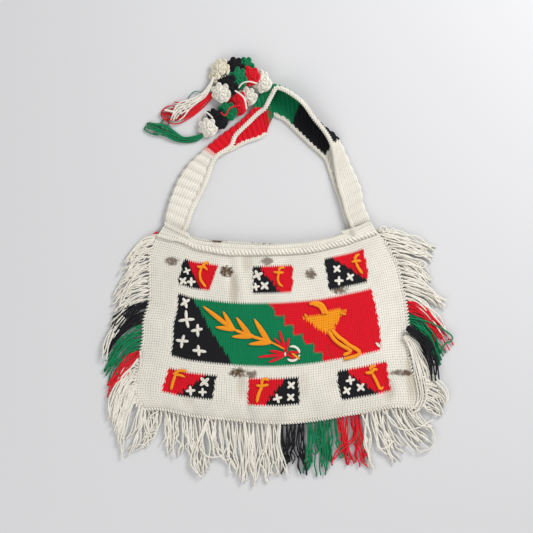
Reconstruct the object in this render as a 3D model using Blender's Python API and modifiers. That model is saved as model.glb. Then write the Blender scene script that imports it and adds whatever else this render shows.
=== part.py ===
"""Bilum string bag, lying face up on its back with the shoulder strap laid out above it.

Units are metres. +X is the bag's right, +Y runs from the bottom edge to the strap, +Z is up.
The back panel, the strap and the fringes lie on Z = 0. Tables are in millimetres.
"""

from collections import namedtuple
from math import cos, pi, radians, sin

import bmesh
import bpy
from mathutils import Matrix, Vector

MM = 0.001

# Driving dimensions, in millimetres.
CLOTH = 2.4  # thickness of the looped fabric
BAND = 3.0  # thickness of the heading band and of the strap's edging
EDGING_WIDTH = 6.2
GAP = 0.4  # between two pieces that touch
BULGE = 13.0  # how far the front panel rises over the back panel
SEAM_HEIGHT = CLOTH + GAP + CLOTH / 2  # middle of the front cloth where it meets the back
FRINGE_THICKNESS = 4.5
FRINGE_GAP = 1.0  # from the body's edge to the fringe's knots
TASSEL_THICKNESS = 5.0
PUFF_RADIUS = 10.5
PUFF_PETALS = 7
PUFF_TILT = 36.0  # degrees, so that neighbours on a strand lie like shingles

PANEL_COLUMNS = 26
PANEL_ROWS = 14
BACK_ROWS = 8
BAND_ROWS = 2
STRAP_STEPS = 2  # rows of mesh for each station of the strap

COLOURS = {
    "natural_white_yarn": (0.74, 0.70, 0.62),
    "black_yarn": (0.012, 0.012, 0.015),
    "green_yarn": (0.0, 0.17, 0.06),
    "red_yarn": (0.70, 0.005, 0.015),
}
# The yarn of a fringe, by the colour word in its name.
FRINGE_YARN = {
    "white": "natural_white_yarn", "black": "black_yarn", "green": "green_yarn", "red": "red_yarn",
}

# The body's outline, x and y. Left and right run upwards, the others from left to right.
LEFT_EDGE = (
    (-182, -186.5), (-190.5, -178), (-194.5, -162), (-191.5, -143), (-183.5, -108), (-180, -86.5),
    (-179, -66), (-172, -38), (-172, 5.5), (-171, 25.5), (-161.5, 48.5), (-151, 63.5),
)
BOTTOM_EDGE = (
    (-182, -186.5), (-164.5, -185), (-146, -187), (-117.5, -193.5), (-89, -197), (-63.5, -199),
    (-36.5, -202), (7, -204), (54, -200), (90.5, -193.5), (117.5, -189.5), (144.5, -184.5),
    (159.5, -182), (179.5, -183.5), (190.5, -183.5),
)
RIGHT_EDGE = (
    (190.5, -183.5), (194.5, -173), (193, -159.5), (188.5, -146.5), (181, -127), (177, -101),
    (177, -71.5), (173, -38), (169.5, -21.5), (165.5, -2), (159.5, 16), (152.5, 29.5), (146, 40.5),
    (135, 54.5), (126, 66),
)
BAND_LINE = (
    (-161.5, 48.5), (-127.5, 39.5), (-109.5, 32.5), (-92, 29.5), (-75.5, 26.5), (-61, 25),
    (-23, 25), (28.5, 27), (54, 30.5), (73, 35), (92.5, 39.5), (105.5, 44.5), (135, 54.5),
)
FRONT_MOUTH = (
    (-151, 63.5), (-123.5, 50.5), (-109.5, 43), (-86.5, 39), (-67.5, 38), (-43, 36.5), (-9.5, 35),
    (15, 36.5), (41, 39), (60.5, 42), (77, 46.5), (91.5, 52.5), (105.5, 56.5), (126, 66),
)
BACK_MOUTH = (
    (-151, 63.5), (-123.5, 51), (-109.5, 46.5), (-92, 43), (-70, 41.5), (-43, 40), (-23, 38.5),
    (15, 38), (40.5, 41), (61, 44), (77, 48), (92, 53.5), (126, 66),
)

# The strap is one band folded lengthwise. Each station runs from its outer fold to its inner edge.
# front_share is how much of the width the upper layer covers, fold_turn how far the fold closes.
Station = namedtuple(
    "Station", "outer_x outer_y inner_x inner_y front_share fold_radius fold_turn"
)
STRAP = tuple(
    Station(*row)
    for row in (
        (-151, 65, -122.8, 51.8, 0.97, 3, 180),
        (-150, 77, -118, 62, 0.97, 3, 180),
        (-146.5, 90.5, -113, 77, 0.97, 3, 180),
        (-142, 104, -106.5, 92, 0.97, 3, 180),
        (-133.5, 124, -97, 109.5, 0.97, 3, 180),
        (-120, 144.5, -90, 127, 0.97, 3, 180),
        (-108, 156, -85, 143, 0.97, 3, 180),
        (-94.5, 168, -77, 154, 0.97, 3, 180),
        (-74, 185, -58.5, 163.5, 0.88, 3, 180),
        (-62, 193.5, -50, 168, 0.57, 3, 180),
        (-50, 202.5, -42, 172, 0.45, 3.5, 180),
        (-36.5, 215.5, -25.5, 177.5, 0.36, 4, 175),
        (-28.5, 229.5, -15, 183.5, 0.41, 4, 170),
        (-20, 243, -11, 194.5, 0.54, 4, 165),
        (-9.5, 251.5, -3.5, 209, 0.44, 5, 155),
        (-2.5, 252, 2.5, 206.5, 0.2, 6, 125),
        (4, 250, 11, 203, 0.14, 7, 115),
        (17.5, 243.5, 23.5, 191, 0.13, 7, 112),
        (35, 230, 36.5, 178, 0.13, 7, 112),
        (49.5, 210.5, 48.5, 166.5, 0.15, 6.5, 115),
        (63, 196.5, 58.5, 157.5, 0.22, 6, 130),
        (80.5, 183, 66, 148, 0.5, 4, 165),
        (91.5, 162, 70, 134.5, 0.68, 3.5, 180),
        (100, 142, 74, 121.5, 0.79, 3, 180),
        (107, 127.5, 78.5, 108, 0.86, 3, 180),
        (114, 108.5, 85, 91, 0.9, 3, 180),
        (116.5, 91, 88.5, 77, 0.9, 3, 180),
        (121.5, 79, 92, 66, 0.88, 3, 180),
        (125, 69.5, 95, 57.5, 0.88, 3, 180),
    )
)

# Fringes: for each lock its comb, where it leaves the edge (y at the sides, x below), and its tip.
Lock = namedtuple("Lock", "comb root tip_x tip_y")
LEFT_FRINGE = tuple(
    Lock(*row)
    for row in (
        ("fringe_left_white_top", 42.5, -197, 26),
        ("fringe_left_white_top", 28.5, -209, 5.5),
        ("fringe_left_white_top", 9.5, -211, -15),
        ("fringe_left_white_top", -11, -220, -40.5),
        ("fringe_left_white_top", -31, -223, -57),
        ("fringe_left_black", -47, -225, -77),
        ("fringe_left_black", -61, -233, -104),
        ("fringe_left_green", -78.5, -234, -128),
        ("fringe_left_green", -97, -232, -147),
        ("fringe_left_red", -113.5, -227, -161),
        ("fringe_left_white_low", -126, -227, -191.5),
        ("fringe_left_white_low", -143, -222, -208),
        ("fringe_left_white_low", -164.5, -215, -233),
    )
)
BOTTOM_FRINGE = tuple(
    Lock(*row)
    for row in (
        ("fringe_bottom_white_left", -177, -206, -251),
        ("fringe_bottom_white_left", -160.5, -175.5, -236),
        ("fringe_bottom_white_left", -143, -146, -246),
        ("fringe_bottom_white_left", -125.5, -123, -248),
        ("fringe_bottom_white_left", -108, -100, -280),
        ("fringe_bottom_white_left", -86.5, -77, -253),
        ("fringe_bottom_white_left", -66, -52.5, -276),
        ("fringe_bottom_white_left", -46, -36.5, -289),
        ("fringe_bottom_white_left", -25.5, -20, -287),
        ("fringe_bottom_white_left", -5.5, 1, -280),
        ("fringe_bottom_black", 15, 17, -258),
        ("fringe_bottom_black", 31, 34, -273),
        ("fringe_bottom_green", 46, 50, -276),
        ("fringe_bottom_green", 59.5, 66, -274),
        ("fringe_bottom_green", 73, 83, -263),
        ("fringe_bottom_red", 88, 98.5, -266),
        ("fringe_bottom_red", 105.5, 117, -265),
        ("fringe_bottom_white_right", 121.5, 133.5, -268),
        ("fringe_bottom_white_right", 136.5, 157, -262),
        ("fringe_bottom_white_right", 152.5, 185, -244),
        ("fringe_bottom_white_right", 169, 209, -240),
        ("fringe_bottom_white_right", 183.5, 216, -216),
    )
)
RIGHT_FRINGE = tuple(
    Lock(*row)
    for row in (
        ("fringe_right_white_low", -174, 222, -196),
        ("fringe_right_white_low", -156.5, 229, -168),
        ("fringe_right_white_low", -140.5, 221, -156),
        ("fringe_right_white_low", -123, 207, -140),
        ("fringe_right_white_low", -98.5, 197, -116),
        ("fringe_right_black", -79.5, 215, -129),
        ("fringe_right_green", -63.5, 222, -123),
        ("fringe_right_red", -47, 235, -100),
        ("fringe_right_white_top", -28.5, 226, -68),
        ("fringe_right_white_top", -12, 227, -42),
        ("fringe_right_white_top", 7, 205, -17),
        ("fringe_right_white_top", 24.5, 210, 0),
        ("fringe_right_white_top", 42, 218, 23),
        ("fringe_right_white_top", 54, 216, 30),
    )
)
LOCK_TIP = 5.0  # widest a lock is at its tip

# Yarn puffs: place of the middle, and how far it is lifted where it lies over another strand.
Puff = namedtuple("Puff", "name colour x y lift")
STRANDS = tuple(
    tuple(Puff(*row) for row in strand)
    for strand in (
        (
            ("puff_a1_green", "green_yarn", -41, 279, 0),
            ("puff_a2_black", "black_yarn", -56.5, 278.5, 0),
            ("puff_a3_white", "natural_white_yarn", -75.5, 273.5, 0),
        ),
        (
            ("puff_b1_white", "natural_white_yarn", -18.5, 259, 6),
            ("puff_b2_red", "red_yarn", -34, 265.5, 8),
            ("puff_b3_green", "green_yarn", -50.5, 262, 6),
            ("puff_b4_black", "black_yarn", -64, 254.5, 4),
            ("puff_b5_white", "natural_white_yarn", -73.5, 244, 2.5),
        ),
        (
            ("puff_c1_white", "natural_white_yarn", -38, 239, 2),
            ("puff_c2_red", "red_yarn", -50.5, 229, 0),
            ("puff_c3_green", "green_yarn", -65, 219, 0),
            ("puff_c4_black", "black_yarn", -79, 209, 0),
            ("puff_c5_white", "natural_white_yarn", -91, 198, 0),
        ),
    )
)

# Tassels: middle line and full width, from the knot to the loops.
TasselPoint = namedtuple("TasselPoint", "x y width")
Tassel = namedtuple("Tassel", "name colour base points")
TASSELS = tuple(
    Tassel(name, colour, base, tuple(TasselPoint(*row) for row in rows))
    for name, colour, base, rows in (
        (
            "tassel_white", "natural_white_yarn", TASSEL_THICKNESS + GAP,
            ((-85, 262, 4), (-89, 252.5, 5), (-97, 239.5, 8), (-108, 231, 11), (-120, 223.5, 16),
             (-132.5, 214.5, 18), (-142.5, 198.5, 6)),
        ),
        (
            "tassel_red", "red_yarn", 0.0,
            ((-86.5, 240.5, 7), (-95.5, 231, 10), (-106.5, 221, 12), (-120, 213.5, 20),
             (-134, 210.5, 24), (-148, 213, 18), (-156.5, 214.5, 8)),
        ),
        (
            "tassel_green", "green_yarn", 0.0,
            ((-100.5, 183.5, 7), (-108.5, 179.5, 10), (-124.5, 177.5, 11), (-138, 181.5, 15),
             (-154, 189.5, 17), (-167, 195, 15), (-179, 197.5, 9)),
        ),
    )
)


def catmull_rom(before, start, end, after, t):
    """A point between start and end of a smooth line through all four, as tuples of numbers."""
    return tuple(
        b + 0.5 * t * ((c - a) + (2 * a - 5 * b + 4 * c - d) * t + (3 * b - a - 3 * c + d) * t**2)
        for a, b, c, d in zip(before, start, end, after)
    )


def smooth_row(rows, place):
    """The row at a place from 0 to len(rows) - 1 on the smooth line through the rows."""
    last = len(rows) - 1
    i = min(int(place), last - 1)
    return catmull_rom(rows[max(i - 1, 0)], rows[i], rows[i + 1], rows[min(i + 2, last)], place - i)


class Edge:
    """A smooth outline that can be asked for a point by share of its length, or by x or y."""

    SAMPLES = 12

    def __init__(self, rows):
        count = (len(rows) - 1) * self.SAMPLES
        self.points = [Vector(smooth_row(rows, i / self.SAMPLES)) for i in range(count + 1)]
        self.lengths = [0.0]
        for a, b in zip(self.points, self.points[1:]):
            self.lengths.append(self.lengths[-1] + (b - a).length)

    def _between(self, keys, value):
        for i in range(len(keys) - 1):
            if (keys[i] - value) * (keys[i + 1] - value) <= 0 and keys[i] != keys[i + 1]:
                share = (value - keys[i]) / (keys[i + 1] - keys[i])
                return self.points[i].lerp(self.points[i + 1], share)
        return self.points[0] if abs(value - keys[0]) < abs(value - keys[-1]) else self.points[-1]

    def at(self, share):
        return self._between(self.lengths, share * self.lengths[-1])

    def at_coordinate(self, axis, value):
        return self._between([point[axis] for point in self.points], value)


def new_object(name, data, colour, collection):
    obj = bpy.data.objects.new(name, data)
    material = bpy.data.materials.get(colour)
    if material is None:
        material = bpy.data.materials.new(colour)
        material.use_nodes = True
        shader = material.node_tree.nodes["Principled BSDF"]
        shader.inputs["Base Color"].default_value = (*COLOURS[colour], 1.0)
        shader.inputs["Roughness"].default_value = 0.9
        shader.inputs["Metallic"].default_value = 0.0
    obj.data.materials.append(material)
    collection.objects.link(obj)
    return obj


def sheet_object(name, rows, thickness, colour, collection):
    """A cloth sheet from rows of middle points, thickened both ways by Solidify."""
    bm = bmesh.new()
    grid = [[bm.verts.new(point * MM) for point in row] for row in rows]
    for low, high in zip(grid, grid[1:]):
        for i in range(len(low) - 1):
            bm.faces.new((low[i], low[i + 1], high[i + 1], high[i]))
    mesh = bpy.data.meshes.new(name)
    bm.to_mesh(mesh)
    bm.free()
    mesh.shade_smooth()
    obj = new_object(name, mesh, colour, collection)
    solidify = obj.modifiers.new("Cloth thickness", "SOLIDIFY")
    solidify.thickness = thickness * MM
    solidify.offset = 0.0
    return obj


def plate_object(name, outline, base, thickness, colour, collection):
    """A flat plate from a closed outline of x, y points, lying with its underside at base."""
    curve = bpy.data.curves.new(name, "CURVE")
    curve.dimensions = "2D"
    curve.fill_mode = "BOTH"
    curve.extrude = thickness / 2 * MM
    spline = curve.splines.new("POLY")
    spline.points.add(len(outline) - 1)
    for point, (x, y) in zip(spline.points, outline):
        point.co = (x * MM, y * MM, 0.0, 1.0)
    spline.use_cyclic_u = True
    obj = new_object(name, curve, colour, collection)
    obj.location.z = (base + thickness / 2) * MM
    return obj


def front_height(across, up):
    """Middle of the front cloth: low at the side and bottom seams, high in the middle."""
    dome = (1 - abs(2 * across - 1) ** 2.6) * sin(0.78 * pi * up**0.75)
    pucker = 0.8 * sin(9 * pi * across) * (2 * up - 1) ** 2 * min(1.0, 6 * up) * dome
    return SEAM_HEIGHT + BULGE * dome + pucker


def patch_rows(left, right, bottom, top, rows, height, inset):
    """A grid stretched between four edges, pulled in by inset at its top or bottom."""
    grid = []
    for r in range(rows + 1):
        up = r / rows
        row = []
        for c in range(PANEL_COLUMNS + 1):
            across = c / PANEL_COLUMNS
            across_part = bottom(across) * (1 - up) + top(across) * up
            up_part = left(up) * (1 - across) + right(up) * across
            corners = (
                bottom(0) * (1 - across) * (1 - up) + bottom(1) * across * (1 - up)
                + top(0) * (1 - across) * up + top(1) * across * up
            )
            flat = across_part + up_part - corners
            shift = inset[0] * (1 - up) + inset[1] * up
            row.append(Vector((flat.x, flat.y + shift, height(across, up))))
        grid.append(row)
    return grid


def build_body(collection):
    left, right, bottom = Edge(LEFT_EDGE[:-1]), Edge(RIGHT_EDGE[:-1]), Edge(BOTTOM_EDGE)
    band_line = Edge(BAND_LINE)
    side_left, side_right = Edge(LEFT_EDGE[-2:]), Edge(RIGHT_EDGE[-2:])
    white = "natural_white_yarn"

    def back_height(across, up):
        return CLOTH / 2

    def band_height(across, up):
        return front_height(across, 1.0) + 1.5 * (BAND - CLOTH) + GAP

    def back_band_height(across, up):
        return BAND / 2

    panels = (
        ("back_panel", BACK_ROWS, back_height),
        ("front_panel", PANEL_ROWS, front_height),
    )
    for name, rows, height in panels:
        grid = patch_rows(left.at, right.at, bottom.at, band_line.at, rows, height, (0, -GAP))
        sheet_object(name, grid, CLOTH, white, collection)
    bands = (
        ("mouth_band_back", Edge(BACK_MOUTH), back_band_height),
        ("mouth_band_front", Edge(FRONT_MOUTH), band_height),
    )
    for name, mouth, height in bands:
        grid = patch_rows(
            side_left.at, side_right.at, band_line.at, mouth.at, BAND_ROWS, height, (GAP, 0)
        )
        sheet_object(name, grid, BAND, white, collection)


def strap_section(row):
    """The folded section at one station: path points with their distance along the band."""
    station = Station(*row)
    outer = Vector((station.outer_x, station.outer_y))
    inner = Vector((station.inner_x, station.inner_y))
    width = (inner - outer).length
    inward = (inner - outer) / width
    radius, turn = station.fold_radius, radians(station.fold_turn)
    flap = (station.front_share * width - radius * (1 - sin(turn))) / -cos(turn)
    low = BAND / 2
    path = [(width, low), (radius, low)]
    arc_steps = 16
    for i in range(1, arc_steps + 1):
        angle = turn * i / arc_steps
        path.append((radius * (1 - sin(angle)), low + radius * (1 - cos(angle))))
    across, height = path[-1]
    path.append((across - flap * cos(turn), height + flap * sin(turn)))
    lengths = [0.0]
    for a, b in zip(path, path[1:]):
        lengths.append(lengths[-1] + ((a[0] - b[0]) ** 2 + (a[1] - b[1]) ** 2) ** 0.5)

    def point_at(distance):
        for i in range(len(lengths) - 1):
            if distance <= lengths[i + 1] or i == len(lengths) - 2:
                share = (distance - lengths[i]) / (lengths[i + 1] - lengths[i])
                u = path[i][0] + (path[i + 1][0] - path[i][0]) * share
                z = path[i][1] + (path[i + 1][1] - path[i][1]) * share
                flat = outer + inward * u
                return Vector((flat.x, flat.y, z))

    fold_start, fold_end = lengths[1], lengths[-2]
    return point_at, fold_start, fold_end, lengths[-1]


def build_strap(collection):
    cloth, front_edging, back_edging = [], [], []
    back_steps, fold_steps, flap_steps = 3, 4, 3
    margin = EDGING_WIDTH + 2 * GAP
    for i in range((len(STRAP) - 1) * STRAP_STEPS + 1):
        point_at, fold_start, fold_end, total = strap_section(smooth_row(STRAP, i / STRAP_STEPS))
        fold_end = min(fold_end, total - margin - 1.5)
        stops = [margin + (fold_start - margin) * k / back_steps for k in range(back_steps)]
        stops += [fold_start + (fold_end - fold_start) * k / fold_steps for k in range(fold_steps)]
        stops += [
            fold_end + (total - margin - fold_end) * k / flap_steps for k in range(flap_steps + 1)
        ]
        cloth.append([point_at(stop) for stop in stops])
        back_edging.append([point_at(0.0), point_at(EDGING_WIDTH)])
        front_edging.append([point_at(total - EDGING_WIDTH), point_at(total)])
    white = "natural_white_yarn"
    sheet_object("strap", cloth, CLOTH, white, collection)
    sheet_object("strap_edging_back", back_edging, BAND, white, collection)
    sheet_object("strap_edging_front", front_edging, BAND, white, collection)


def lock_path(root, outward, tip, share):
    """A lock leaves the edge square to it and bends over to its tip."""
    knee = root + outward * (tip - root).dot(outward) * 0.5
    return root * (1 - share) ** 2 + knee * 2 * share * (1 - share) + tip * share**2


def build_fringe(edge_rows, axis, outward, ends, locks, split, collection):
    """One comb for each run of locks of a colour, along one edge of the body."""
    edge = Edge(edge_rows)
    side = Vector((-outward.y, outward.x))
    roots = [lock.root for lock in locks]
    bounds = [ends[0]] + [(a + b) / 2 for a, b in zip(roots, roots[1:])] + [ends[1]]
    along = edge.at_coordinate(axis, bounds[-1]) - edge.at_coordinate(axis, bounds[0])
    if along.dot(side) < 0:
        side = -side
    steps = (0.0, split, (1 + 2 * split) / 3, 1.0)

    def root_at(value):
        return edge.at_coordinate(axis, value) + outward * FRINGE_GAP

    def tip_width(i):
        here = Vector((locks[i].tip_x, locks[i].tip_y))
        near = [
            (Vector((locks[j].tip_x, locks[j].tip_y)) - here).length
            for j in (i - 1, i + 1) if 0 <= j < len(locks)
        ]
        return min(LOCK_TIP, 0.45 * min(near))

    def own_side(i, sign, share):
        """A lock's own left or right side."""
        tip = Vector((locks[i].tip_x, locks[i].tip_y))
        middle = lock_path(root_at(roots[i]), outward, tip, share)
        ahead = lock_path(root_at(roots[i]), outward, tip, min(share + 0.05, 1.0))
        back = lock_path(root_at(roots[i]), outward, tip, max(share - 0.05, 0.0))
        along = (ahead - back).normalized()
        across = Vector((-along.y, along.x))
        if across.dot(side) < 0:
            across = -across
        half_root = abs(bounds[i + 1] - bounds[i]) / 2
        half = half_root * (1 - share) + tip_width(i) / 2 * share
        j = i + sign
        if 0 <= j < len(locks):
            other_tip = Vector((locks[j].tip_x, locks[j].tip_y))
            other = lock_path(root_at(roots[j]), outward, other_tip, share)
            half = min(half, 0.42 * abs((other - middle).dot(across)))
        return middle + across * half * sign

    def shared(k, share):
        """The line between lock k - 1 and lock k, or the outer side of the first or last lock."""
        if share == 0.0:
            return root_at(bounds[k])
        sides = []
        if k > 0:
            sides.append(own_side(k - 1, 1, share))
        if k < len(locks):
            sides.append(own_side(k, -1, share))
        return sum(sides, Vector((0, 0))) / len(sides)

    def lock_side(i, sign, at_comb_end):
        k = i + 1 if sign > 0 else i
        line = []
        for share in steps:
            common = shared(k, share)
            free = max(0.0, (share - split) / (1 - split))
            point = common.lerp(own_side(i, sign, share), free)
            if at_comb_end and share <= split:
                point = point - side * sign * GAP
            line.append(point)
        return line

    combs = []
    for i, lock in enumerate(locks):
        if i == 0 or lock.comb != locks[i - 1].comb:
            combs.append([])
        combs[-1].append(i)
    for comb in combs:
        first, last = comb[0], comb[-1]
        outline = []
        root_steps = 3 * len(comb)
        for k in range(1, root_steps):
            value = bounds[first] + (bounds[last + 1] - bounds[first]) * k / root_steps
            outline.append(root_at(value))
        for i in reversed(comb):
            far = lock_side(i, 1, i == last)
            near = lock_side(i, -1, i == first)
            outline += far[1:] if i < last else far
            outline += near[:0:-1] if i > first else near[::-1]
            if i > first:
                outline.pop()
        name = locks[first].comb
        colour = FRINGE_YARN[name.split("_")[2]]
        plate_object(name, outline, 0.0, FRINGE_THICKNESS, colour, collection)


def build_puffs(collection):
    """Crocheted yarn flowers: lobed discs that lean on their neighbours along each strand."""
    half = 3.0
    around = 2 * PUFF_PETALS
    for strand in STRANDS:
        start, end = strand[0], strand[-1]
        heading = Vector((end.x - start.x, end.y - start.y, 0.0)).normalized()
        hinge = Vector((-heading.y, heading.x, 0.0))
        lean = Matrix.Rotation(radians(PUFF_TILT), 4, hinge)
        for puff in strand:
            rings = ((0.0, half), (0.6, 0.95 * half), (1.0, 0.35 * half),
                     (1.0, -0.35 * half), (0.6, -0.95 * half), (0.0, -half))
            bm = bmesh.new()
            layers = []
            for reach, height in rings:
                layer = []
                for i in range(around if reach else 1):
                    lobe = PUFF_RADIUS * reach * (1.0 if i % 2 else 0.86)
                    angle = 2 * pi * i / around
                    layer.append(bm.verts.new((lobe * cos(angle), lobe * sin(angle), height)))
                layers.append(layer)
            for upper, lower in zip(layers, layers[1:]):
                for i in range(around):
                    j = (i + 1) % around
                    ring = [upper[i % len(upper)], lower[i % len(lower)],
                            lower[j % len(lower)], upper[j % len(upper)]]
                    bm.faces.new(list(dict.fromkeys(ring)))
            bmesh.ops.transform(bm, matrix=lean, verts=bm.verts)
            lowest = min(vertex.co.z for vertex in bm.verts)
            place = Matrix.Translation((0, 0, puff.lift - lowest))
            bmesh.ops.transform(bm, matrix=place, verts=bm.verts)
            bmesh.ops.scale(bm, vec=(MM, MM, MM), verts=bm.verts)
            mesh = bpy.data.meshes.new(puff.name)
            bm.to_mesh(mesh)
            bm.free()
            mesh.shade_smooth()
            obj = new_object(puff.name, mesh, puff.colour, collection)
            obj.location = (puff.x * MM, puff.y * MM, 0.0)


def build_tassels(collection):
    for tassel in TASSELS:
        near, far = [], []
        count = len(tassel.points)
        for i, point in enumerate(tassel.points):
            before, after = tassel.points[max(i - 1, 0)], tassel.points[min(i + 1, count - 1)]
            along = Vector((after.x - before.x, after.y - before.y)).normalized()
            across = Vector((-along.y, along.x)) * point.width / 2
            middle = Vector((point.x, point.y))
            near.append(middle + across)
            far.append(middle - across)
        outline = near + far[::-1]
        plate_object(tassel.name, outline, tassel.base, TASSEL_THICKNESS, tassel.colour, collection)


def main():
    for obj in list(bpy.data.objects):
        bpy.data.objects.remove(obj, do_unlink=True)
    collection = bpy.data.collections.new("bilum_string_bag")
    bpy.context.scene.collection.children.link(collection)
    build_body(collection)
    build_strap(collection)
    build_fringe(LEFT_EDGE, 1, Vector((-1, 0)), (52, -176), LEFT_FRINGE, 0.45, collection)
    build_fringe(BOTTOM_EDGE, 0, Vector((0, -1)), (-181, 190), BOTTOM_FRINGE, 0.15, collection)
    build_fringe(RIGHT_EDGE, 1, Vector((1, 0)), (-181, 60), RIGHT_FRINGE, 0.45, collection)
    build_puffs(collection)
    build_tassels(collection)


main()
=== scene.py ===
"""Bilum string bag: the looks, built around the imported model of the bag.

Everything lies in the model's own frame: +X to the bag's right, +Y from the bottom edge to the
strap, +Z up from the surface that the bag lies on. Tables and routes are in millimetres.
"""

import math
from collections import namedtuple

import bpy
import numpy as np
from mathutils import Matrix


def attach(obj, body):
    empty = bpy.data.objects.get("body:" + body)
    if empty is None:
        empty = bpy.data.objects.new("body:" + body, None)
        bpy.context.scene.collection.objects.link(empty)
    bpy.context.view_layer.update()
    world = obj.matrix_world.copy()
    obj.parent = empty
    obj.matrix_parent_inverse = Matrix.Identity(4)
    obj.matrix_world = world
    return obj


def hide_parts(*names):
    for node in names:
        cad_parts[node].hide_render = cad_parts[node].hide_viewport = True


bl_info = {
    "name": "Bilum String Bag",
    "version": (1, 0, 0),
    "blender": (4, 5, 0),
    "location": "View3D > Sidebar > Bilum",
    "description": "Looped cloth, strap, fringes, yarn flowers and tassels of a string bag",
    "category": "Add Mesh",
}

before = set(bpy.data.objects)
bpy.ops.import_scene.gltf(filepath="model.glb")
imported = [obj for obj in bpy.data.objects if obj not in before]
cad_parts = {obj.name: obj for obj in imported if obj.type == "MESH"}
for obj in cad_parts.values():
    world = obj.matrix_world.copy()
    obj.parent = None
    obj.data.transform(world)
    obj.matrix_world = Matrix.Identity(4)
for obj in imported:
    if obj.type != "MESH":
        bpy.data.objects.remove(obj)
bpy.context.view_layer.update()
MM = 0.001

# ---------------------------------------------------------------------------------------------
# Shapes shared with the model
# ---------------------------------------------------------------------------------------------

CLOTH = 2.4
BAND = 3.0
EDGING_WIDTH = 6.2
GAP = 0.4
BULGE = 13.0
SEAM_HEIGHT = CLOTH + GAP + CLOTH / 2
FRINGE_GAP = 1.0
PUFF_TILT = 24.0
TASSEL_THICKNESS = 5.0

LEFT_EDGE = (
    (-182, -186.5), (-190.5, -178), (-194.5, -162), (-191.5, -143), (-183.5, -108), (-180, -86.5),
    (-179, -66), (-172, -38), (-172, 5.5), (-171, 25.5), (-161.5, 48.5), (-151, 63.5),
)
BOTTOM_EDGE = (
    (-182, -186.5), (-164.5, -185), (-146, -187), (-117.5, -193.5), (-89, -197), (-63.5, -199),
    (-36.5, -202), (7, -204), (54, -200), (90.5, -193.5), (117.5, -189.5), (144.5, -184.5),
    (159.5, -182), (179.5, -183.5), (190.5, -183.5),
)
RIGHT_EDGE = (
    (190.5, -183.5), (194.5, -173), (193, -159.5), (188.5, -146.5), (181, -127), (177, -101),
    (177, -71.5), (173, -38), (169.5, -21.5), (165.5, -2), (159.5, 16), (152.5, 29.5), (146, 40.5),
    (135, 54.5), (126, 66),
)
BAND_LINE = (
    (-161.5, 48.5), (-127.5, 39.5), (-109.5, 32.5), (-92, 29.5), (-75.5, 26.5), (-61, 25),
    (-23, 25), (28.5, 27), (54, 30.5), (73, 35), (92.5, 39.5), (105.5, 44.5), (135, 54.5),
)
FRONT_MOUTH = (
    (-151, 63.5), (-123.5, 50.5), (-109.5, 43), (-86.5, 39), (-67.5, 38), (-43, 36.5), (-9.5, 35),
    (15, 36.5), (41, 39), (60.5, 42), (77, 46.5), (91.5, 52.5), (105.5, 56.5), (126, 66),
)
BACK_MOUTH = (
    (-151, 63.5), (-123.5, 51), (-109.5, 46.5), (-92, 43), (-70, 41.5), (-43, 40), (-23, 38.5),
    (15, 38), (40.5, 41), (61, 44), (77, 48), (92, 53.5), (126, 66),
)

# The strap is one band folded lengthwise. Each station runs from its outer fold to its inner edge.
# front_share is how much of the width the upper layer covers, fold_turn how far the fold closes.
Station = namedtuple(
    "Station", "outer_x outer_y inner_x inner_y front_share fold_radius fold_turn"
)
STRAP = (
    (-151, 65, -122.8, 51.8, 0.97, 3, 180),
    (-150, 77, -118, 62, 0.97, 3, 180),
    (-146.5, 90.5, -113, 77, 0.97, 3, 180),
    (-142, 104, -106.5, 92, 0.97, 3, 180),
    (-133.5, 124, -97, 109.5, 0.97, 3, 180),
    (-120, 144.5, -90, 127, 0.97, 3, 180),
    (-108, 156, -85, 143, 0.97, 3, 180),
    (-94.5, 168, -77, 154, 0.97, 3, 180),
    (-74, 185, -58.5, 163.5, 0.88, 3, 180),
    (-62, 193.5, -50, 168, 0.57, 3, 180),
    (-50, 202.5, -42, 172, 0.45, 3.5, 180),
    (-36.5, 215.5, -25.5, 177.5, 0.36, 4, 175),
    (-28.5, 229.5, -15, 183.5, 0.41, 4, 170),
    (-20, 243, -11, 194.5, 0.54, 4, 165),
    (-9.5, 251.5, -3.5, 209, 0.44, 5, 155),
    (-2.5, 252, 2.5, 206.5, 0.2, 6, 125),
    (4, 250, 11, 203, 0.14, 7, 115),
    (17.5, 243.5, 23.5, 191, 0.13, 7, 112),
    (35, 230, 36.5, 178, 0.13, 7, 112),
    (49.5, 210.5, 48.5, 166.5, 0.15, 6.5, 115),
    (63, 196.5, 58.5, 157.5, 0.22, 6, 130),
    (80.5, 183, 66, 148, 0.5, 4, 165),
    (91.5, 162, 70, 134.5, 0.68, 3.5, 180),
    (100, 142, 74, 121.5, 0.79, 3, 180),
    (107, 127.5, 78.5, 108, 0.86, 3, 180),
    (114, 108.5, 85, 91, 0.9, 3, 180),
    (116.5, 91, 88.5, 77, 0.9, 3, 180),
    (121.5, 79, 92, 66, 0.88, 3, 180),
    (125, 69.5, 95, 57.5, 0.88, 3, 180),
)

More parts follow.
